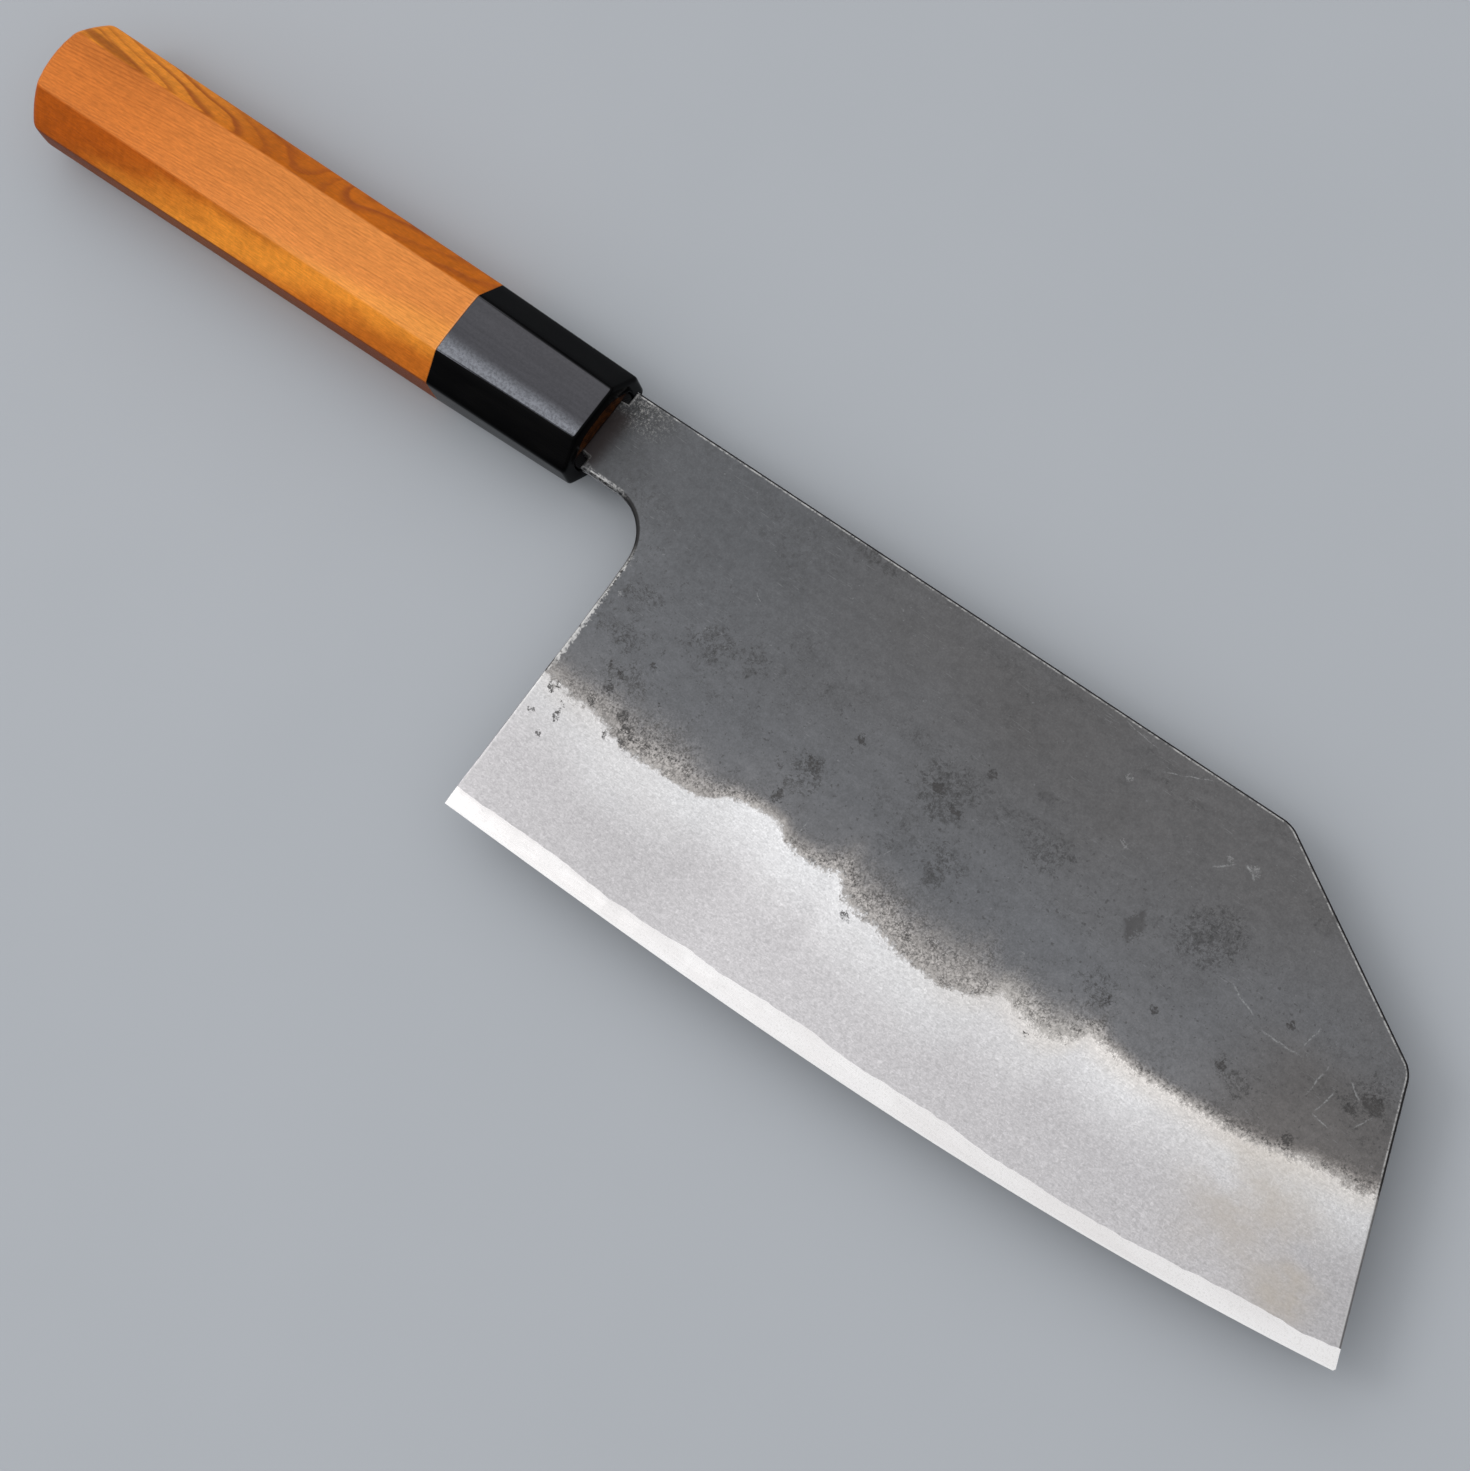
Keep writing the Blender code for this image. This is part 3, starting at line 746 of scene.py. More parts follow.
def blend(share, first, second):
    """One colour laid over another by a share."""
    tree = share.tree
    made = add_node(tree, "ShaderNodeMix", data_type="RGBA", blend_type="MIX")
    sockets = {s.identifier: s for s in made.inputs}
    for key, value in (("Factor_Float", share), ("A_Color", first), ("B_Color", second)):
        plug(tree, (*value, 1.0) if isinstance(value, tuple) else value, sockets[key])
    return Value(tree, next(s for s in made.outputs if s.identifier == "Result_Color"))


def tinted(share, colour, tint):
    return blend(share, colour, colour.vector("MULTIPLY", tint))


class Finish:
    """A material being laid out. Patterns are in millimetres of the knife's own numbers."""

    def __init__(self, name):
        self.material = bpy.data.materials.new(name)
        self.material.use_nodes = True
        self.tree = self.material.node_tree
        self.at = made_value(self.tree, "Object", "ShaderNodeTexCoord").vector(
            "MULTIPLY_ADD", (1 / MM,) * 3, ORIGIN)

    def attribute(self, name):
        return made_value(self.tree, "Fac", "ShaderNodeAttribute", attribute_name=name)

    def normal(self):
        return made_value(self.tree, "Normal", "ShaderNodeNewGeometry").split()

    def grain(self, size, stretch=(1, 1, 1), turn=0.0, shift=0.0, detail=4, rough=0.55,
              warp=0.0):
        """Noise whose blotches are about this many millimetres across."""
        laid = made_value(self.tree, 0, "ShaderNodeMapping", {
            "Vector": self.at, "Location": (shift, shift * 0.7, shift * 1.3),
            "Rotation": (0, 0, math.radians(turn)),
            "Scale": tuple(1 / (size * s) for s in stretch)})
        return made_value(self.tree, "Fac", "ShaderNodeTexNoise", {
            "Vector": laid, "Scale": 1.0, "Detail": detail, "Roughness": rough,
            "Distortion": warp}, noise_dimensions="3D")

    def bump(self, height, depth_mm):
        return made_value(self.tree, 0, "ShaderNodeBump", {
            "Height": height, "Distance": depth_mm * MM, "Strength": 1.0})

    def apply(self, inputs):
        for name, value in inputs.items():
            plug(self.tree, value, self.tree.nodes["Principled BSDF"].inputs[name])
        return self.material


def yew_wood():
    """Fine orange-brown softwood. Its rings turn slowly along the grip, so that they run fine and
    straight on the wide facets and sweep in arcs across the spine-side chamfer."""
    wood = Finish("satin yew wood")
    x, y, z = wood.at.split()

    # Growth rings.
    slow = wood.grain(26, (1.6, 0.7, 0.7), detail=2, shift=3).around(1.5)
    small = wood.grain(4, (5, 1, 1), detail=3).around(0.28)
    from_turn = x + 74.0
    butt_side, mouth_side = from_turn.at_most(0.0), from_turn.at_least(0.0)
    turned = x.between(-74.0, -58.0)
    tilt = 0.80 + butt_side * -0.0055 + turned * -0.20
    drift = (butt_side * -0.024 + mouth_side * -0.085 + mouth_side * mouth_side * 0.0007
             + turned * 3.3)
    ring = (y * 0.70 + z * tilt + drift + slow + small + 90.0) / RING_PITCH
    phase = ring.calc("FRACT")
    year = made_value(wood.tree, "Value", "ShaderNodeTexWhiteNoise", {"W": ring.calc("FLOOR")},
                      noise_dimensions="1D")
    late = phase.changes((0.42, 0.84), (1.0, 0.86)) * year.between(0.0, 1.0, 0.25, 1.0)
    fibre = wood.grain(0.26, (7, 1, 1), detail=3, rough=0.65)
    broad = wood.grain(13, (3.0, 0.6, 0.6), detail=3, shift=11)
    normal_x, normal_y, normal_z = wood.normal()
    spine_side, edge_side = normal_y.between(0.25, 0.6), normal_y.between(-0.25, -0.6)

    # Colour: deeper at the butt, golden towards the joint.
    colour = blend(x.between(-112.0, -50.0), (0.600, 0.174, 0.031), (0.750, 0.262, 0.060))
    # The spine-side chamfer's own colour, paler at the butt and darker towards the joint; the
    # darkening is partly painted shade on this chamfer, which faces away from the light.
    spine_chamfer_and_shade = blend(x.between(-106.0, -76.0), (0.770, 0.255, 0.026), (0.540, 0.132, 0.006))
    spine_chamfer_and_shade = scaled(spine_chamfer_and_shade, x.changes((-88.0, -80.0, 1.0, 0.92), (-68.0, -60.0, 1.0, 1.08)))
    colour = blend(spine_side, colour, spine_chamfer_and_shade)
    # Painted highlight: a golden band along the lower part of the top facet, from the middle to the
    # joint.
    from_butt = (x + 70.0).at_least(0.0)
    streak = (y - (x * 0.055 + from_butt * from_butt * 0.0012 + -4.4)) / (x * 0.024 + 4.24)
    streak = abs(streak + broad.around(1.2))
    golden_highlight = streak.between(1.35, 0.3) * x.between(-85.0, -50.0)
    colour = blend(golden_highlight * 0.9, colour, (0.850, 0.325, 0.066))

    # Lower chamfer: rust at the butt, gold in the middle, rust again below by the joint. The gold
    # is partly painted sheen, where this chamfer faces the light.
    down = -8.5 - y
    patchy = broad.around(40.0) + wood.grain(3, (2, 1, 1), detail=3).around(16.0)
    gold_and_sheen = (x + down * 6.0 + patchy).between(-106.0, -68.0)
    rust = (x + down * 8.0 + patchy).between(-64.0, -26.0, 0.0, 0.85)
    low_chamfer_and_sheen = blend(gold_and_sheen, (0.410, 0.084, 0.005), (0.820, 0.280, 0.030))
    low_chamfer_and_sheen = blend(rust, low_chamfer_and_sheen, (0.430, 0.100, 0.008))
    colour = blend(edge_side, colour, low_chamfer_and_sheen)
    # Painted shade: the narrow facet on the edge side is darkened.
    low_facet_shade = normal_y.between(-0.86, -0.97)
    colour = blend(low_facet_shade * 0.9, colour, (0.150, 0.027, 0.001))
    knot_x = (x + 116.0) / 8.5
    knot_y = (y + knot_x * 0.7 + -6.7) / 0.8
    knot = (knot_x * knot_x + knot_y * knot_y).between(2.2, 0.2)
    knot = knot * z.between(2.0, 5.0) * broad.between(0.25, 0.55, 0.5, 1.0)
    colour = blend(knot * 0.75, colour, (0.210, 0.042, 0.006))
    colour = scaled(colour, broad.between(0.3, 0.7, 0.90, 1.07))

    # Late wood lines: clear at the butt and on the spine-side chamfer, faint elsewhere.
    clear = x.between(-82.0, -112.0) * y.between(-5.0, 3.0)
    bold = x.between(-116.0, -98.0, 0.10, 0.46)
    line_share = 0.26 + clear * 0.10 + spine_side * bold + edge_side * -0.18
    colour = blend(late * line_share, colour, (0.290, 0.058, 0.009))
    colour = scaled(colour, fibre.between(0.3, 0.7, 0.86, 1.12))
    fleck = wood.grain(1.3, (1, 1.8, 1.8), turn=-28, detail=5, rough=0.65, shift=17)
    fleck_share = edge_side * 0.6 + spine_side * 0.6 + 0.2
    colour = scaled(colour, 1.0 + fleck_share * fleck.between(0.3, 0.7, -0.12, 0.10))
    end_grain = abs(normal_x).between(0.55, 0.97)
    colour = blend(end_grain * 0.5, colour, (0.33, 0.085, 0.018))
    # Painted highlight: a pale line along the wide facets' edge at the joint.
    arris_highlight = x.changes((-29.8, -29.65), (-29.3, -29.45)) * normal_z.between(0.85, 0.95)
    colour = blend(arris_highlight * 0.2, colour, (0.86, 0.50, 0.33))

    # The tenon's end in the ferrule's mouth: dark end grain with painted shade in the recess, and a
    # near-black painted shadow beside the tang.
    mouth_end_shade = blend(wood.grain(1.2, detail=3).between(0.4, 0.6),
                    (0.020, 0.006, 0.002), (0.050, 0.015, 0.003))
    from_tang = abs(z) + wood.grain(1.6, detail=3).around(0.9)
    mouth_end_shade = blend(from_tang.between(2.5, 1.9), mouth_end_shade, (0.004, 0.003, 0.003))
    colour = blend(x.between(-3.0, -1.0), colour, mouth_end_shade)
    return wood.apply({
        "Base Color": colour, "Roughness": fibre.between(0.2, 0.8, 0.36, 0.48),
        "Normal": wood.bump(late * 0.6 + fibre * 0.7, 0.035), "Specular IOR Level": 0.06})


def polished_horn():
    """Near-black polished horn. Its wide facets carry a painted grey sheen that stands for their
    reflection, and a painted highlight that makes them paler towards the edge side.
    """
    horn = Finish("polished buffalo horn")
    y = horn.at.split()[1]
    streak = horn.grain(0.6, (30, 1, 1), detail=4)
    cloud = horn.grain(6, (3, 1, 1), detail=3, shift=5)
    fine = horn.grain(0.12, (25, 1, 1), detail=2, shift=2)
    scuff = horn.grain(0.45, detail=3, rough=0.7, shift=9)
    wide = abs(horn.normal()[2]).between(0.90, 0.985)
    colour = blend(cloud.between(0.45, 0.75) * streak,
                   (0.0008, 0.0008, 0.0010), (0.0035, 0.0032, 0.0032))
    # Painted sheen: the wide facets get a grey colour that stands for their reflection, a little
    # paler towards the spine side.
    painted_facet_sheen = blend(y.between(5.5, -3.0), (0.072, 0.0705, 0.0770), (0.064, 0.0630, 0.0700))
    # Painted highlight: a paler, scuffed band towards the edge-side long edge of the wide facets.
    pale = (y + cloud * -1.2).between(-2.2, -5.0) * scuff.between(0.35, 0.6, 0.6, 1.0)
    painted_facet_sheen = blend(pale, painted_facet_sheen, (0.215, 0.222, 0.246))
    painted_facet_sheen = scaled(painted_facet_sheen, streak.between(0.3, 0.7, 0.94, 1.06))
    painted_facet_sheen = scaled(painted_facet_sheen, scuff.between(0.3, 0.7, 0.92, 1.08))
    rough = cloud.between(0.3, 0.7, 0.14, 0.20) + fine.between(0.45, 0.7, 0.0, 0.05)
    return horn.apply({
        "Base Color": blend(wide, colour, painted_facet_sheen), "Roughness": rough + wide * 0.08,
        "Specular IOR Level": 0.045, "Normal": horn.bump(streak * 0.4 + fine, 0.004)})


SPOTS = (   # dark pits and blots on the right cheek: x, y, half width, half height
    (62.5, -33, 0.9, 1.1), (149, -17, 0.7, 0.5), (131, -27, 0.7, 0.6), (144, -28, 0.8, 0.7),
    (124.5, -30, 0.5, 0.6), (32.5, -27.5, 0.4, 0.5), (68.2, -18.3, 0.6, 0.4),
    (83, -17.5, 1.3, 0.8), (87.5, -19.4, 1.1, 0.6), (88.5, -11, 1, 0.7), (64.3, -25.8, 1.3, 0.7),
    (28.7, -34.6, 0.9, 0.6), (27.7, -38, 0.75, 0.45), (28.8, -31.6, 0.7, 0.4),
    (26.7, -31.3, 0.4, 0.4), (33.7, -37.1, 0.8, 1.2), (35.4, -38.4, 0.6, 0.5),
    (37, -39.2, 0.6, 0.7), (36.2, -40.7, 1, 0.45), (37.5, -32.4, 0.35, 0.3),
    (24.3, -42.8, 0.38, 1), (24, -41, 0.25, 0.25), (33.2, -41.2, 0.4, 0.5),
    (20.7, -39.8, 0.45, 0.6), (21.5, -38.8, 0.4, 0.3), (20.3, -44.7, 0.6, 0.2),
    (23.8, -47.3, 0.5, 0.4), (117, -41.1, 0.5, 0.4), (83, -42.6, 0.8, 0.35),
    (158.5, -31.5, 0.9, 0.7), (166, -20, 1.9, 1.2), (163.5, -22.5, 0.8, 0.6))
DIAMOND_SPOT = (120.8, -17.8, 1.9, 3.1)     # the one large pointed blot
BLOT_DARK = (0.038, 0.037, 0.037)
PALE_SPOTS = (  # rubbed patches on the right cheek: x, y, half width, half height
    (130.8, -0.4, 1.1, 0.6), (126.7, -0.9, 0.6, 0.4), (106.5, 0.7, 0.6, 0.5),
    (112.0, -8.5, 0.5, 0.4), (109.5, -31.6, 0.35, 0.6), (20.6, -21.0, 0.5, 0.4))
CLUSTERS = (  # where the right cheek is thickly pitted: x, y, half width, half height
    (23.5, -19.5, 3.5, 3.0), (39, -19.5, 5.5, 3.5), (50, 8.5, 7, 3.0), (63.5, -27, 4.0, 4.0),
    (85, -17, 8, 6), (91, -27, 4, 5), (103, -17, 5, 3.5), (131.5, -13, 6, 6.5),
    (148, -28, 5, 3), (165.5, -19.5, 4.5, 4.5), (30, -31, 6, 2.8), (122, -29, 4, 2.5),
    (46, -18, 4, 2.5), (26, -26, 3, 3))
STAINS = (  # brown bloom on the bevel by the tip: x, y, reach, share
    (160, -43, 17, 0.55), (171, -50, 8, 0.7))
SCRATCHES = (   # pale scratches on the right cheek: x, y, direction, length, bend, width
    (69, -35.5, 88, 5.5, 0.0, 0.10), (82.5, -30.5, 65, 1.6, 0.0, 0.12),
    (141, -18, -22, 6.0, 0.02, 0.20), (149.5, -20.2, 2, 7.5, 0.012, 0.20),
    (157, -21.5, 86, 6.0, 0.0, 0.17), (162.5, -19.7, -35, 3.2, 0.0, 0.20),
    (159.8, -23.6, 78, 4.5, 0.03, 0.16), (160.8, -26.4, -8, 3.4, 0.0, 0.15),
    (152.6, -16.6, 80, 4.0, -0.02, 0.15), (166.2, -22.8, 62, 3.4, 0.0, 0.14),
    (40, -8.7, -28, 2.4, 0.10, 0.12), (114, 6.2, 24, 8.0, 0.0, 0.13),
    (126.5, -2.4, 42, 3.6, 0.0, 0.20), (130.5, -1.0, -30, 3.0, 0.05, 0.30),
    (104, 7.6, -8, 7.0, 0.0, 0.10))


def scratch_group():
    """One bent scratch: 1 on its line, fading out at its ends."""
    tree = bpy.data.node_groups.new("scratch", "ShaderNodeTree")
    for name in ("At", "Middle"):
        tree_input(tree, name, kind="NodeSocketVector")
    for name in ("Direction", "Half Length", "Bend", "Width"):
        tree_input(tree, name, 0.0)
    tree.interface.new_socket("Mark", in_out="OUTPUT", socket_type="NodeSocketFloat")
    given = given_values(tree)
    turned = made_value(tree, 0, "ShaderNodeVectorRotate", {
        "Vector": given["At"], "Center": given["Middle"], "Angle": given["Direction"]},
        rotation_type="Z_AXIS", invert=True)
    along, across, _ = turned.vector("SUBTRACT", given["Middle"]).split()
    off = abs(across - given["Bend"] * along * along) / given["Width"]
    far = abs(along) / given["Half Length"]
    mark = (1.0 - off).at_least(0.0) * (1.0 - far ** 4.0).at_least(0.0)
    add_node(tree, "NodeGroupOutput", {"Mark": mark})
    return tree


def off_middle(at, x, y, half_x, half_y):
    """How far a place is from a spot's middle, as a share of the spot's half sizes."""
    return at.vector("MULTIPLY_ADD", (1 / half_x, 1 / half_y, 0.0),
                     (-x / half_x, -y / half_y, 0.0)).vector("LENGTH")


def scaled_iron(name, right):
    """Dark forge scale on the cheek, pale grinding on the bevel, ragged where the two meet."""
    iron = Finish(name)
    turn = 0 if right else 50
    above, rim = iron.attribute("above_border"), iron.attribute("rim")
    x, y, _ = iron.at.split()
    flat_at = joined(x, y)

    def grain(size, stretch=(1, 1, 1), shift=0, **kind):
        """Noise that is laid differently on each side of the blade."""
        return iron.grain(size, stretch, shift=turn + shift, **kind)

    speck = grain(0.34, shift=1, rough=0.7)
    mottle = grain(2.4, shift=2, detail=7, rough=0.72, warp=0.6)
    patch = grain(12, (1.3, 0.8, 1), shift=3, detail=3)
    cloud = grain(24, (1.4, 0.9, 1), shift=4, detail=3)
    rub = grain(1.8, shift=5, detail=5, rough=0.7)
    grit = grain(0.62, shift=6, rough=0.72)
    worm = grain(0.8, shift=20, detail=2, rough=0.5, warp=1.2)
    broken = iron.attribute("border_broken")
    ragged = above + broken * (mottle.around(1.3) + grit.around(3.2) + rub.around(1.2))
    scale = (ragged / (broken + 0.2)).between(-0.42, 0.42)
    zone = (iron.attribute("border_zone") + rub.around(0.9) + patch.around(0.7)
            + worm.around(0.7))
    zone = (zone.at_least(0.0) ** 2.5 * -1.0).calc("EXPONENT")

    # Forge scale: browner by the spine, bluer and paler lower down.
    lower = y.between(6.0, -34.0) + cloud.around(1.2)
    upper = blend(x.between(30.0, 75.0), (0.083, 0.085, 0.091), (0.087, 0.084, 0.085))
    colour = blend(lower, upper, (0.112, 0.114, 0.122))
    colour = scaled(colour, x.changes((1.0, 18.0, 0.72, 1.0), (92.0, 116.0, 1.0, 1.09)))
    by_tip = x.between(136.0, 156.0) * y.between(-13.0, -22.0)
    colour = blend(by_tip, colour, (0.099, 0.093, 0.092))
    cluster = patch.between(0.50, 0.60, 0.0, 0.4 if right else 1.0)
    if right:
        strayed = joined(x + rub.around(14.0) + patch.around(12.0),
                         y + mottle.around(14.0) + cloud.around(12.0))
        for place_and_size in CLUSTERS:
            away = off_middle(strayed, *place_and_size)
            cluster = cluster.at_least(away.between(1.15, 0.35))
    ridge = abs(grain(1.5, shift=12, detail=6, rough=0.70, warp=0.5).around(1.0))
    wormy = ridge.between(0.045, 0.012) * cluster
    blots = mottle.between(0.54, 0.60) * cluster * grit.between(0.40, 0.52, 0.3, 1.0)
    pepper = grit.between(0.54, 0.59) * (cluster + mottle.around(1.6)).between(0.3, 0.7)
    dots = grain(0.75, shift=13, rough=0.65).between(0.60, 0.67) * (
        y + rub.around(30.0)).between(-2.0, -16.0, 0.25, 1.0)
    for share, dark in ((wormy * 0.62, (0.040, 0.039, 0.039)), (blots * 0.5, BLOT_DARK),
                        (pepper * 0.66, (0.034, 0.033, 0.033)), (dots * 0.6, BLOT_DARK)):
        colour = blend(share, colour, dark)
    rolled = grain(2.6, (2.4, 0.8, 1), shift=23, detail=5, rough=0.7)
    colour = scaled(colour, rolled.between(0.32, 0.68, 0.94, 1.06))
    halo = above.between(13.0, 3.0) * x.between(178.0, 172.0) * (
        1.0 + x.changes((92.0, 98.0), (118.0, 112.0)) * -0.8)
    colour = tinted(halo, colour, (1.17, 1.15, 1.13))
    pale = grain(0.6, shift=14, detail=3).between(0.66, 0.75) * mottle.between(0.56, 0.46)
    colour = blend(pale * 0.40, colour, (0.24, 0.245, 0.25))
    hairs = (grain(0.15, (15, 1, 1), turn=38, shift=15, detail=1).between(0.64, 0.74)
             * grain(6, shift=16, detail=2).between(0.50, 0.60))
    colour = blend(hairs * 0.30, colour, (0.24, 0.24, 0.245))
    skin = grain(1.1, shift=18, detail=5, rough=0.7)
    colour = scaled(colour, speck.between(0.3, 0.7, 0.88, 1.12)
                    * skin.between(0.3, 0.7, 0.90, 1.10))

    # Pale speckled zone above the border.
    wide_zone = zone ** 0.45
    colour = tinted(wide_zone * 0.8, colour, (1.05, 0.99, 0.93))
    pale_zone = blend(x.changes((105.0, 112.0), (128.0, 122.0)),
                      (0.322, 0.300, 0.284), (0.385, 0.362, 0.341))
    pale_zone = scaled(pale_zone, x.between(34.0, 44.0, 0.85, 1.0))
    colour = blend(zone * 0.94, colour, pale_zone)
    calm = ((patch + rub.around(0.4)).between(0.40, 0.52, 0.5, 1.0)
            * zone.between(0.8, 1.0, 1.0, 0.7))
    speckled = (grit.between(0.42, 0.57, -0.40, 0.40) + speck.between(0.40, 0.60, -0.38, 0.46)
                + worm.between(0.38, 0.60, -0.24, 0.24))
    colour = scaled(colour, 1.0 + wide_zone * calm * speckled)
    burnt = wide_zone * calm * mottle.between(0.51, 0.57) * speck.between(0.56, 0.48)
    colour = blend(burnt * 0.72, colour, (0.052, 0.046, 0.043))

    # Neck: rough crust by the spine, soot with painted shade beside the ferrule.
    crust = x.between(13.0, 3.0) * y.between(1.0, 5.5)
    flakes = grain(0.42, shift=19, detail=5, rough=0.8)
    colour = blend(crust * flakes.between(0.53, 0.60) * 0.8, colour, (0.300, 0.290, 0.275))
    colour = blend(crust * flakes.between(0.49, 0.42) * 0.85, colour, (0.024, 0.022, 0.020))
    # Soot and painted shade: darker beside the ferrule's mouth.
    soot_and_shade = x.between(4.8, 1.4) * abs(y + 0.8).between(6.5, 4.0)
    colour = blend(soot_and_shade * 0.82, colour, (0.026, 0.016, 0.015))

    # Ground bevel.
    glow = grain(16, (1.6, 0.7, 1), shift=8, detail=2).between(0.36, 0.64)
    high_colour = blend(glow, (0.598, 0.585, 0.585), (0.615, 0.607, 0.610))
    high_colour = scaled(high_colour, x.changes(
        (18.0, 48.0, 0.81, 0.955), (50.0, 62.0, 1.0, 1.15), (80.0, 92.0, 1.0, 0.96),
        (104.0, 112.0, 1.0, 1.02), (118.0, 132.0, 1.0, 1.11), (134.0, 144.0, 1.0, 0.95),
        (162.0, 170.0, 1.0, 0.95)))
    warm = above.between(-4.5, -0.5) * (x.between(38.0, 24.0, 0.0, 0.4)
                                        + x.between(88.0, 125.0))
    high_colour = tinted(warm, high_colour, (1.0, 0.965, 0.92))
    low_colour = scaled((0.460, 0.443, 0.449),
                        x.changes((44.0, 72.0, 0.93, 1.14), (158.0, 177.0, 1.0, 0.87)))
    ground = blend(above.between(-0.5, -14.0), high_colour, low_colour)
    sanded = (grain(0.22, (3.2, 1, 1), turn=35, shift=9, detail=2)
              + grain(0.25, (3.0, 1, 1), turn=-40, shift=10, detail=2)) * 0.5
    curl = grain(0.62, shift=17, rough=0.65, warp=1.4)
    ground = scaled(ground, sanded.between(0.3, 0.7, -0.10, 0.10)
                    + curl.between(0.3, 0.7, 0.87, 1.13))
    for shift, strength in ((21, 0.11), (22, -0.12)):
        fold = abs(grain(1.1, shift=shift, detail=1, warp=0.8).around(1.0))
        ground = scaled(ground, 1.0 + fold.between(0.022, 0.005) * curl.between(0.46, 0.56)
                        * strength)

    # Stains, spots and pits.
    masks = []
    if right:
        for stain_x, stain_y, reach, share in STAINS:
            away = flat_at.vector("DISTANCE", (stain_x, stain_y, 0.0))
            stain = (away.between(reach, 1.0) * patch.between(0.3, 0.6)
                     * rub.between(0.25, 0.6, 0.7, 1.0) * share)
            ground = blend(stain, ground, (0.47, 0.412, 0.345))
        near = flat_at.vector("ADD", joined(
            rub.around(2.0) + grit.around(3.0) + speck.around(2.2),
            mottle.around(1.6) + grit.around(-3.0) + speck.around(-2.2)))
        broken_up = iron.grain(0.5, shift=25, detail=3, rough=0.6).between(0.40, 0.50, 0.35, 1.0)

        def ragged_spot(*place_and_size):
            return off_middle(near, *place_and_size).between(1.15, 0.85) * broken_up

        masks = [ragged_spot(*spot) for spot in SPOTS]
        for spot in PALE_SPOTS:
            rubbed = ragged_spot(*spot) * speck.between(0.35, 0.55) * 0.5
            colour = blend(rubbed, colour, (0.30, 0.30, 0.30))
        near_x, near_y, _ = near.split()
        middle_x, middle_y, half_x, half_y = DIAMOND_SPOT
        away = abs(near_x + -middle_x) / half_x + abs(near_y + -middle_y) / half_y
        masks.append(away.between(1.2, 0.7, 0.0, 0.7))
    body = blend(scale, ground, colour)
    pits = speck.between(0.64, 0.72) * cluster * above.between(-9.0, -1.0, 0.0, 0.8)
    for mask in masks:
        pits = pits.at_least(mask)
    pits = pits * speck.between(0.34, 0.50, 0.55, 1.0)
    body = blend(pits * 0.86, body, (0.034, 0.031, 0.030))
    if right:
        group = scratch_group()
        wander = flat_at.vector("ADD", joined(rub.around(0.9), mottle.around(0.9)))
        marks = None
        for scratch_x, scratch_y, direction, length, bend, width in SCRATCHES:
            mark = made_value(iron.tree, "Mark", "ShaderNodeGroup", {
                "At": wander, "Middle": (scratch_x, scratch_y, 0.0),
                "Direction": math.radians(direction), "Half Length": length / 2,
                "Bend": bend, "Width": width}, node_tree=group)
            marks = marks.at_least(mark) if marks else mark
        marks = marks * speck.between(0.38, 0.54) * rub.between(0.3, 0.5)
        body = blend(marks * 0.5, body, (0.38, 0.39, 0.39))

    # Edges: a painted shadow and dark reflection along the outline, and worn bright metal with
    # painted highlights, at the spine, clip, neck, choil and heel.
    choil = x.between(20.5, 19.0) * y.changes((-27.0, -20.0), (-5.5, -7.0)) * x.between(6.0, 11.0)
    # Painted shadow and dark reflection: a near-black line along the outline, wider on the choil's
    # eased edge.
    edge_shadow = rim.between(0.36, 0.22) * scale.at_least(x.between(60.0, 120.0, 0.0, 0.8))
    edge_shadow = edge_shadow.at_least(choil * rim.between(0.95, 0.65))
    body = blend(edge_shadow * 0.92, body, (0.022, 0.021, 0.021))
    # Worn bright metal along the rims and at the heel; along the choil's outer edge and the neck's
    # lower edge it is also a painted highlight.
    worn_and_glint = (rim.changes((0.27, 0.36), (0.62, 0.44)) * rub.between(0.40, 0.56, 0.1, 1.0)
            * speck.between(0.38, 0.50, 0.2, 1.0) * (1.0 - choil))
    choil_glint = choil * rim.between(0.16, 0.06) * y.between(-9.0, -12.0) * rub.between(0.35, 0.55)
    nicks_and_glint = (x.between(12.0, 8.0) * y.between(-5.6, -6.4) * rim.between(1.0, 0.7)
             * grit.between(0.44, 0.60) * 0.7)
    bare = (y.changes((-37.5, -35.0), (-12.0, -18.0)) * x.between(21.5, 20.0)
            * (rim + grit.around(-3.4)).between(1.05, 0.45) * rub.between(0.34, 0.46))
    corner = x.between(1.7, 1.2) * abs(y + -0.8).between(5.2, 5.8) * speck.between(0.4, 0.5)
    for mark in (choil_glint, nicks_and_glint, bare, corner):
        worn_and_glint = worn_and_glint.at_least(mark)
    body = blend(worn_and_glint * 0.8, body, (0.50, 0.49, 0.48))
    bright = worn_and_glint.at_least(1.0 - scale)
    rough = bright.between(0.0, 1.0, 0.52, 0.40) + speck.around(0.10) + mottle.around(0.12)
    height = (scale * (mottle * 1.0 + speck * 0.6) + sanded * 0.15 + pits * -1.2 + scale * 0.5
              + crust * speck * 1.5)
    # The painted edge shadow is made fully metallic, so that it stays dark.
    return iron.apply({
        "Base Color": body, "Roughness": rough, "Normal": iron.bump(height, 0.03),
        "Metallic": bright.at_least(edge_shadow).between(0.0, 1.0, 0.30, 1.0)})


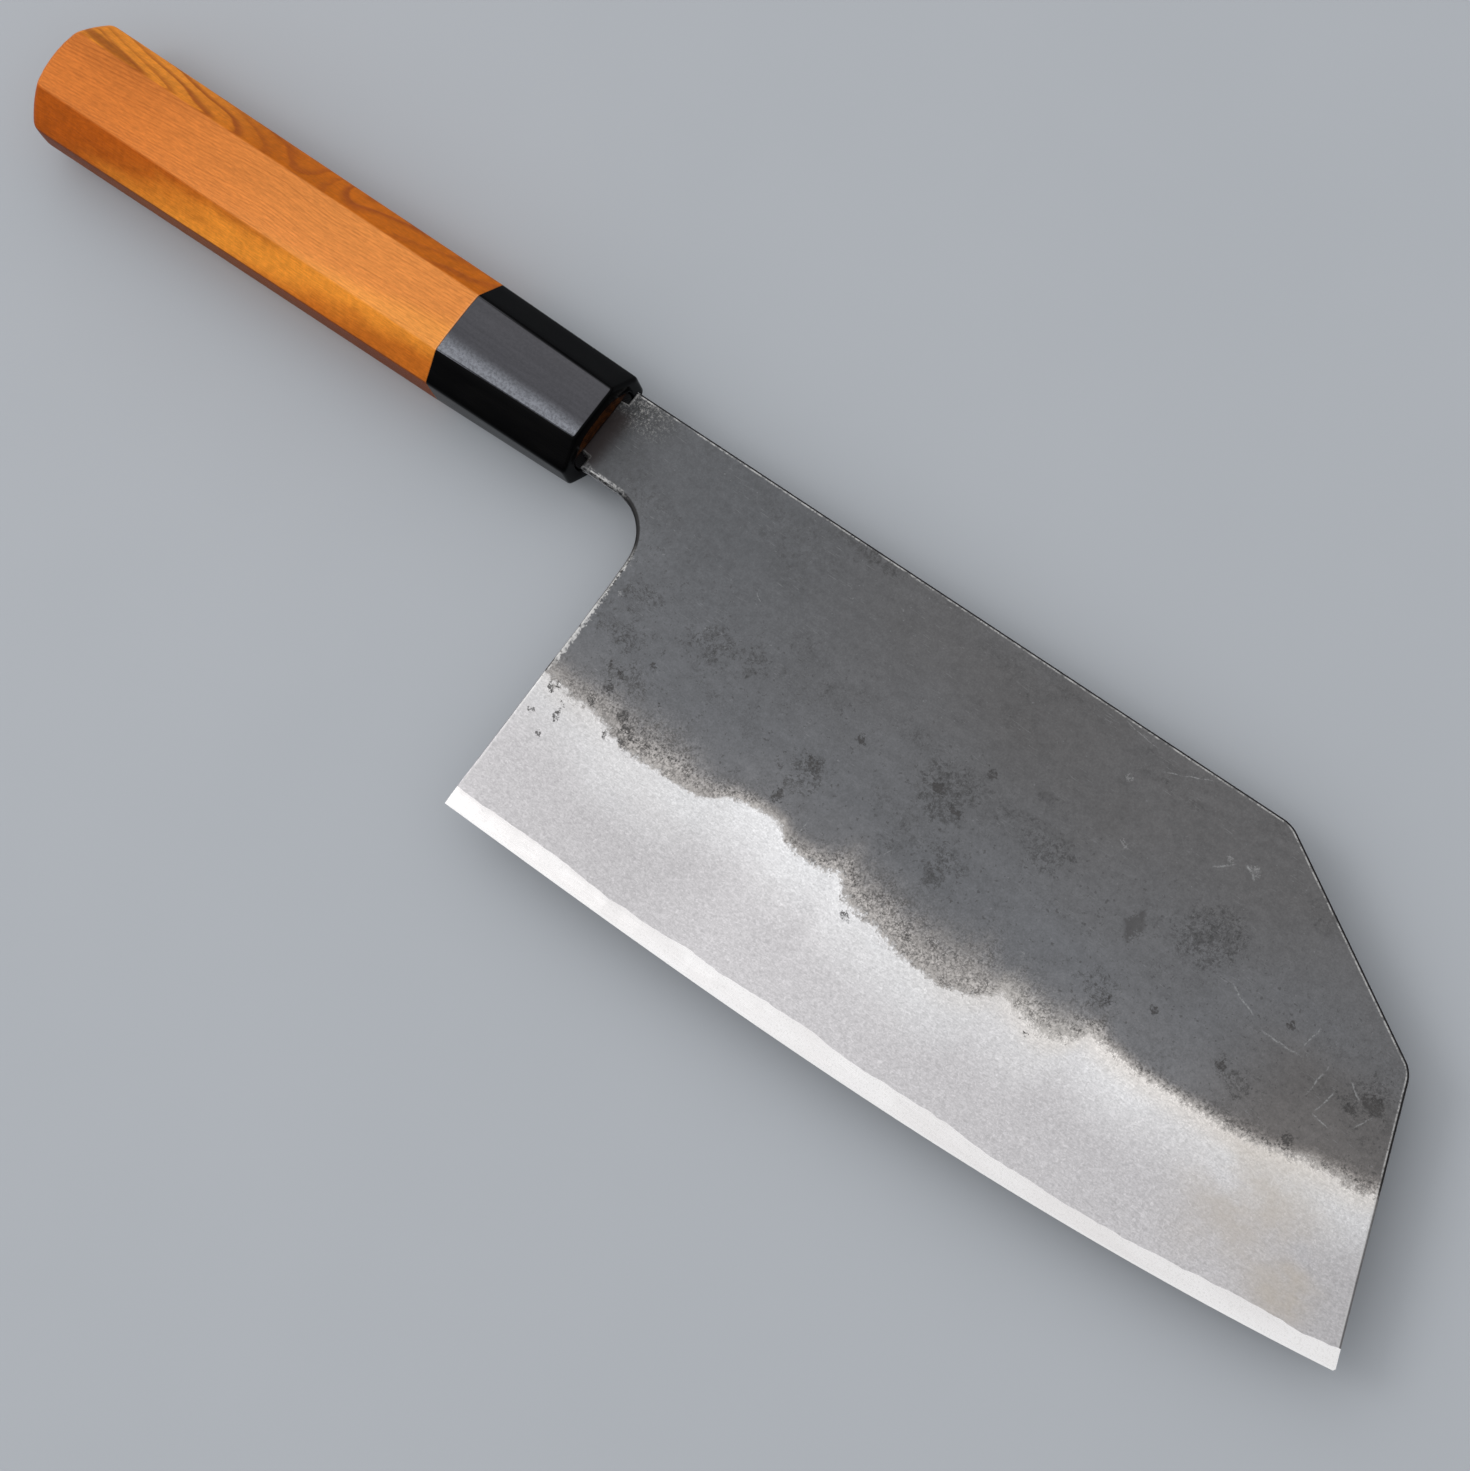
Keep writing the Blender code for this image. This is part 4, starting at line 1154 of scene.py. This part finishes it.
def hard_steel():
    """Near-white polished strip with fine lines along the edge."""
    steel = Finish("honed hard steel")
    line = steel.grain(0.10, (45, 1, 1), detail=3)
    cloud = steel.grain(7, (3, 1, 1), detail=3, shift=4)
    speck = steel.grain(0.3, detail=2, shift=6)
    colour = blend(cloud.between(0.35, 0.65), (0.835, 0.805, 0.795), (0.892, 0.868, 0.860))
    colour = blend(speck.between(0.5, 0.7) * 0.4, colour, (0.71, 0.685, 0.67))
    # Painted shade: the strip is darker towards the heel, to hold back the lamp's brighter
    # reflection there.
    colour = scaled(colour, steel.at.split()[0].between(18.0, 85.0, 0.88, 1.0))
    honed = steel.attribute("above_edge").between(0.5, 0.2)
    colour = blend(honed * 0.4, colour, (0.97, 0.96, 0.955))
    return steel.apply({
        "Base Color": colour, "Metallic": 1.0, "Normal": steel.bump(line, 0.004),
        "Roughness": line.between(0.3, 0.7, 0.20, 0.28) + honed * -0.08})


def pale_floor():
    floor = Finish("pale table")
    colour = blend(floor.grain(60, detail=3), (0.372, 0.390, 0.415), (0.396, 0.412, 0.438))
    return floor.apply({"Base Color": colour, "Roughness": 0.65, "Specular IOR Level": 0.3})


# ---------------------------------------------------------------- studio

def build_studio():
    scene = bpy.context.scene
    scene.view_settings.view_transform = "Standard"

    mesh = bpy.data.meshes.new("table")
    mesh.from_pydata([(x * TABLE_HALF, y * TABLE_HALF, 0)
                      for x, y in ((-1, -1), (1, -1), (1, 1), (-1, 1))], [], [(0, 1, 2, 3)])
    mesh.materials.append(pale_floor())
    add_object("table", mesh)

    scene.world = bpy.data.worlds.new("studio")
    scene.world.use_nodes = True
    tree = scene.world.node_tree
    way_x, _, way_z = made_value(tree, "Generated", "ShaderNodeTexCoord").split()
    sky = way_z.between(0.05, 0.5, 0.06, 0.9) * way_x.between(-0.2, -0.6, 1.0, 1.7)
    light = tree.nodes["Background"]
    light.inputs["Color"].default_value = (0.97, 0.985, 1.0, 1.0)
    plug(tree, sky, light.inputs["Strength"])
    backdrop = made_value(tree, 0, "ShaderNodeBackground", {"Color": (0.397, 0.418, 0.445, 1.0)})
    seen = made_value(tree, "Is Camera Ray", "ShaderNodeLightPath")
    both = made_value(tree, 0, "ShaderNodeMixShader", {0: seen, 1: light.outputs[0], 2: backdrop})
    plug(tree, both, tree.nodes["World Output"].inputs["Surface"])

    lamp = bpy.data.lights.new("softbox", "AREA")
    lamp.shape = "RECTANGLE"
    lamp.size, lamp.size_y = SOFTBOX_SIZE
    lamp.energy = SOFTBOX_POWER
    softbox = add_object("softbox", lamp)
    softbox.location = SOFTBOX_PLACE
    softbox.rotation_euler = (-softbox.location).to_track_quat("-Z", "Y").to_euler()

    camera = bpy.data.cameras.new("camera")
    camera.lens, camera.sensor_width = CAMERA_LENS, CAMERA_SENSOR
    view = add_object("camera", camera)
    turn = Matrix(CAMERA_AXES).transposed().to_4x4()
    view.matrix_world = Matrix.Translation(CAMERA_PLACE * MM) @ turn
    scene.camera = view


# ---------------------------------------------------------------- the whole knife

def main():
    turning = handle_tree(octagon_section_tree())
    cutter = add_object("tang slot cutter", tang_slot_cutter())
    grip = build_handle_piece("wood_grip", turning, grip_path(), False, yew_wood(), cutter)
    ferrule = build_handle_piece("horn_collar", turning, ferrule_path(), True, polished_horn())
    bpy.data.objects.remove(cutter)
    right, left = Side(1), Side(-1)
    core = build_core("core_sheet", right, left, hard_steel())
    iron_right = build_iron("cladding_right", right, scaled_iron("scaled iron right", True))
    iron_left = build_iron("cladding_left", left, scaled_iron("scaled iron left", False))

    for piece, node, slot in (
            (grip, "wooden_grip", "yew_wood"), (ferrule, "horn_ferrule", "buffalo_horn"),
            (core, "hard_steel_core", "hard_steel"),
            (iron_right, "iron_cladding_right", "scaled_iron"),
            (iron_left, "iron_cladding_left", "scaled_iron")):
        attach(piece, "root")
        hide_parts(node)


main()
build_studio()
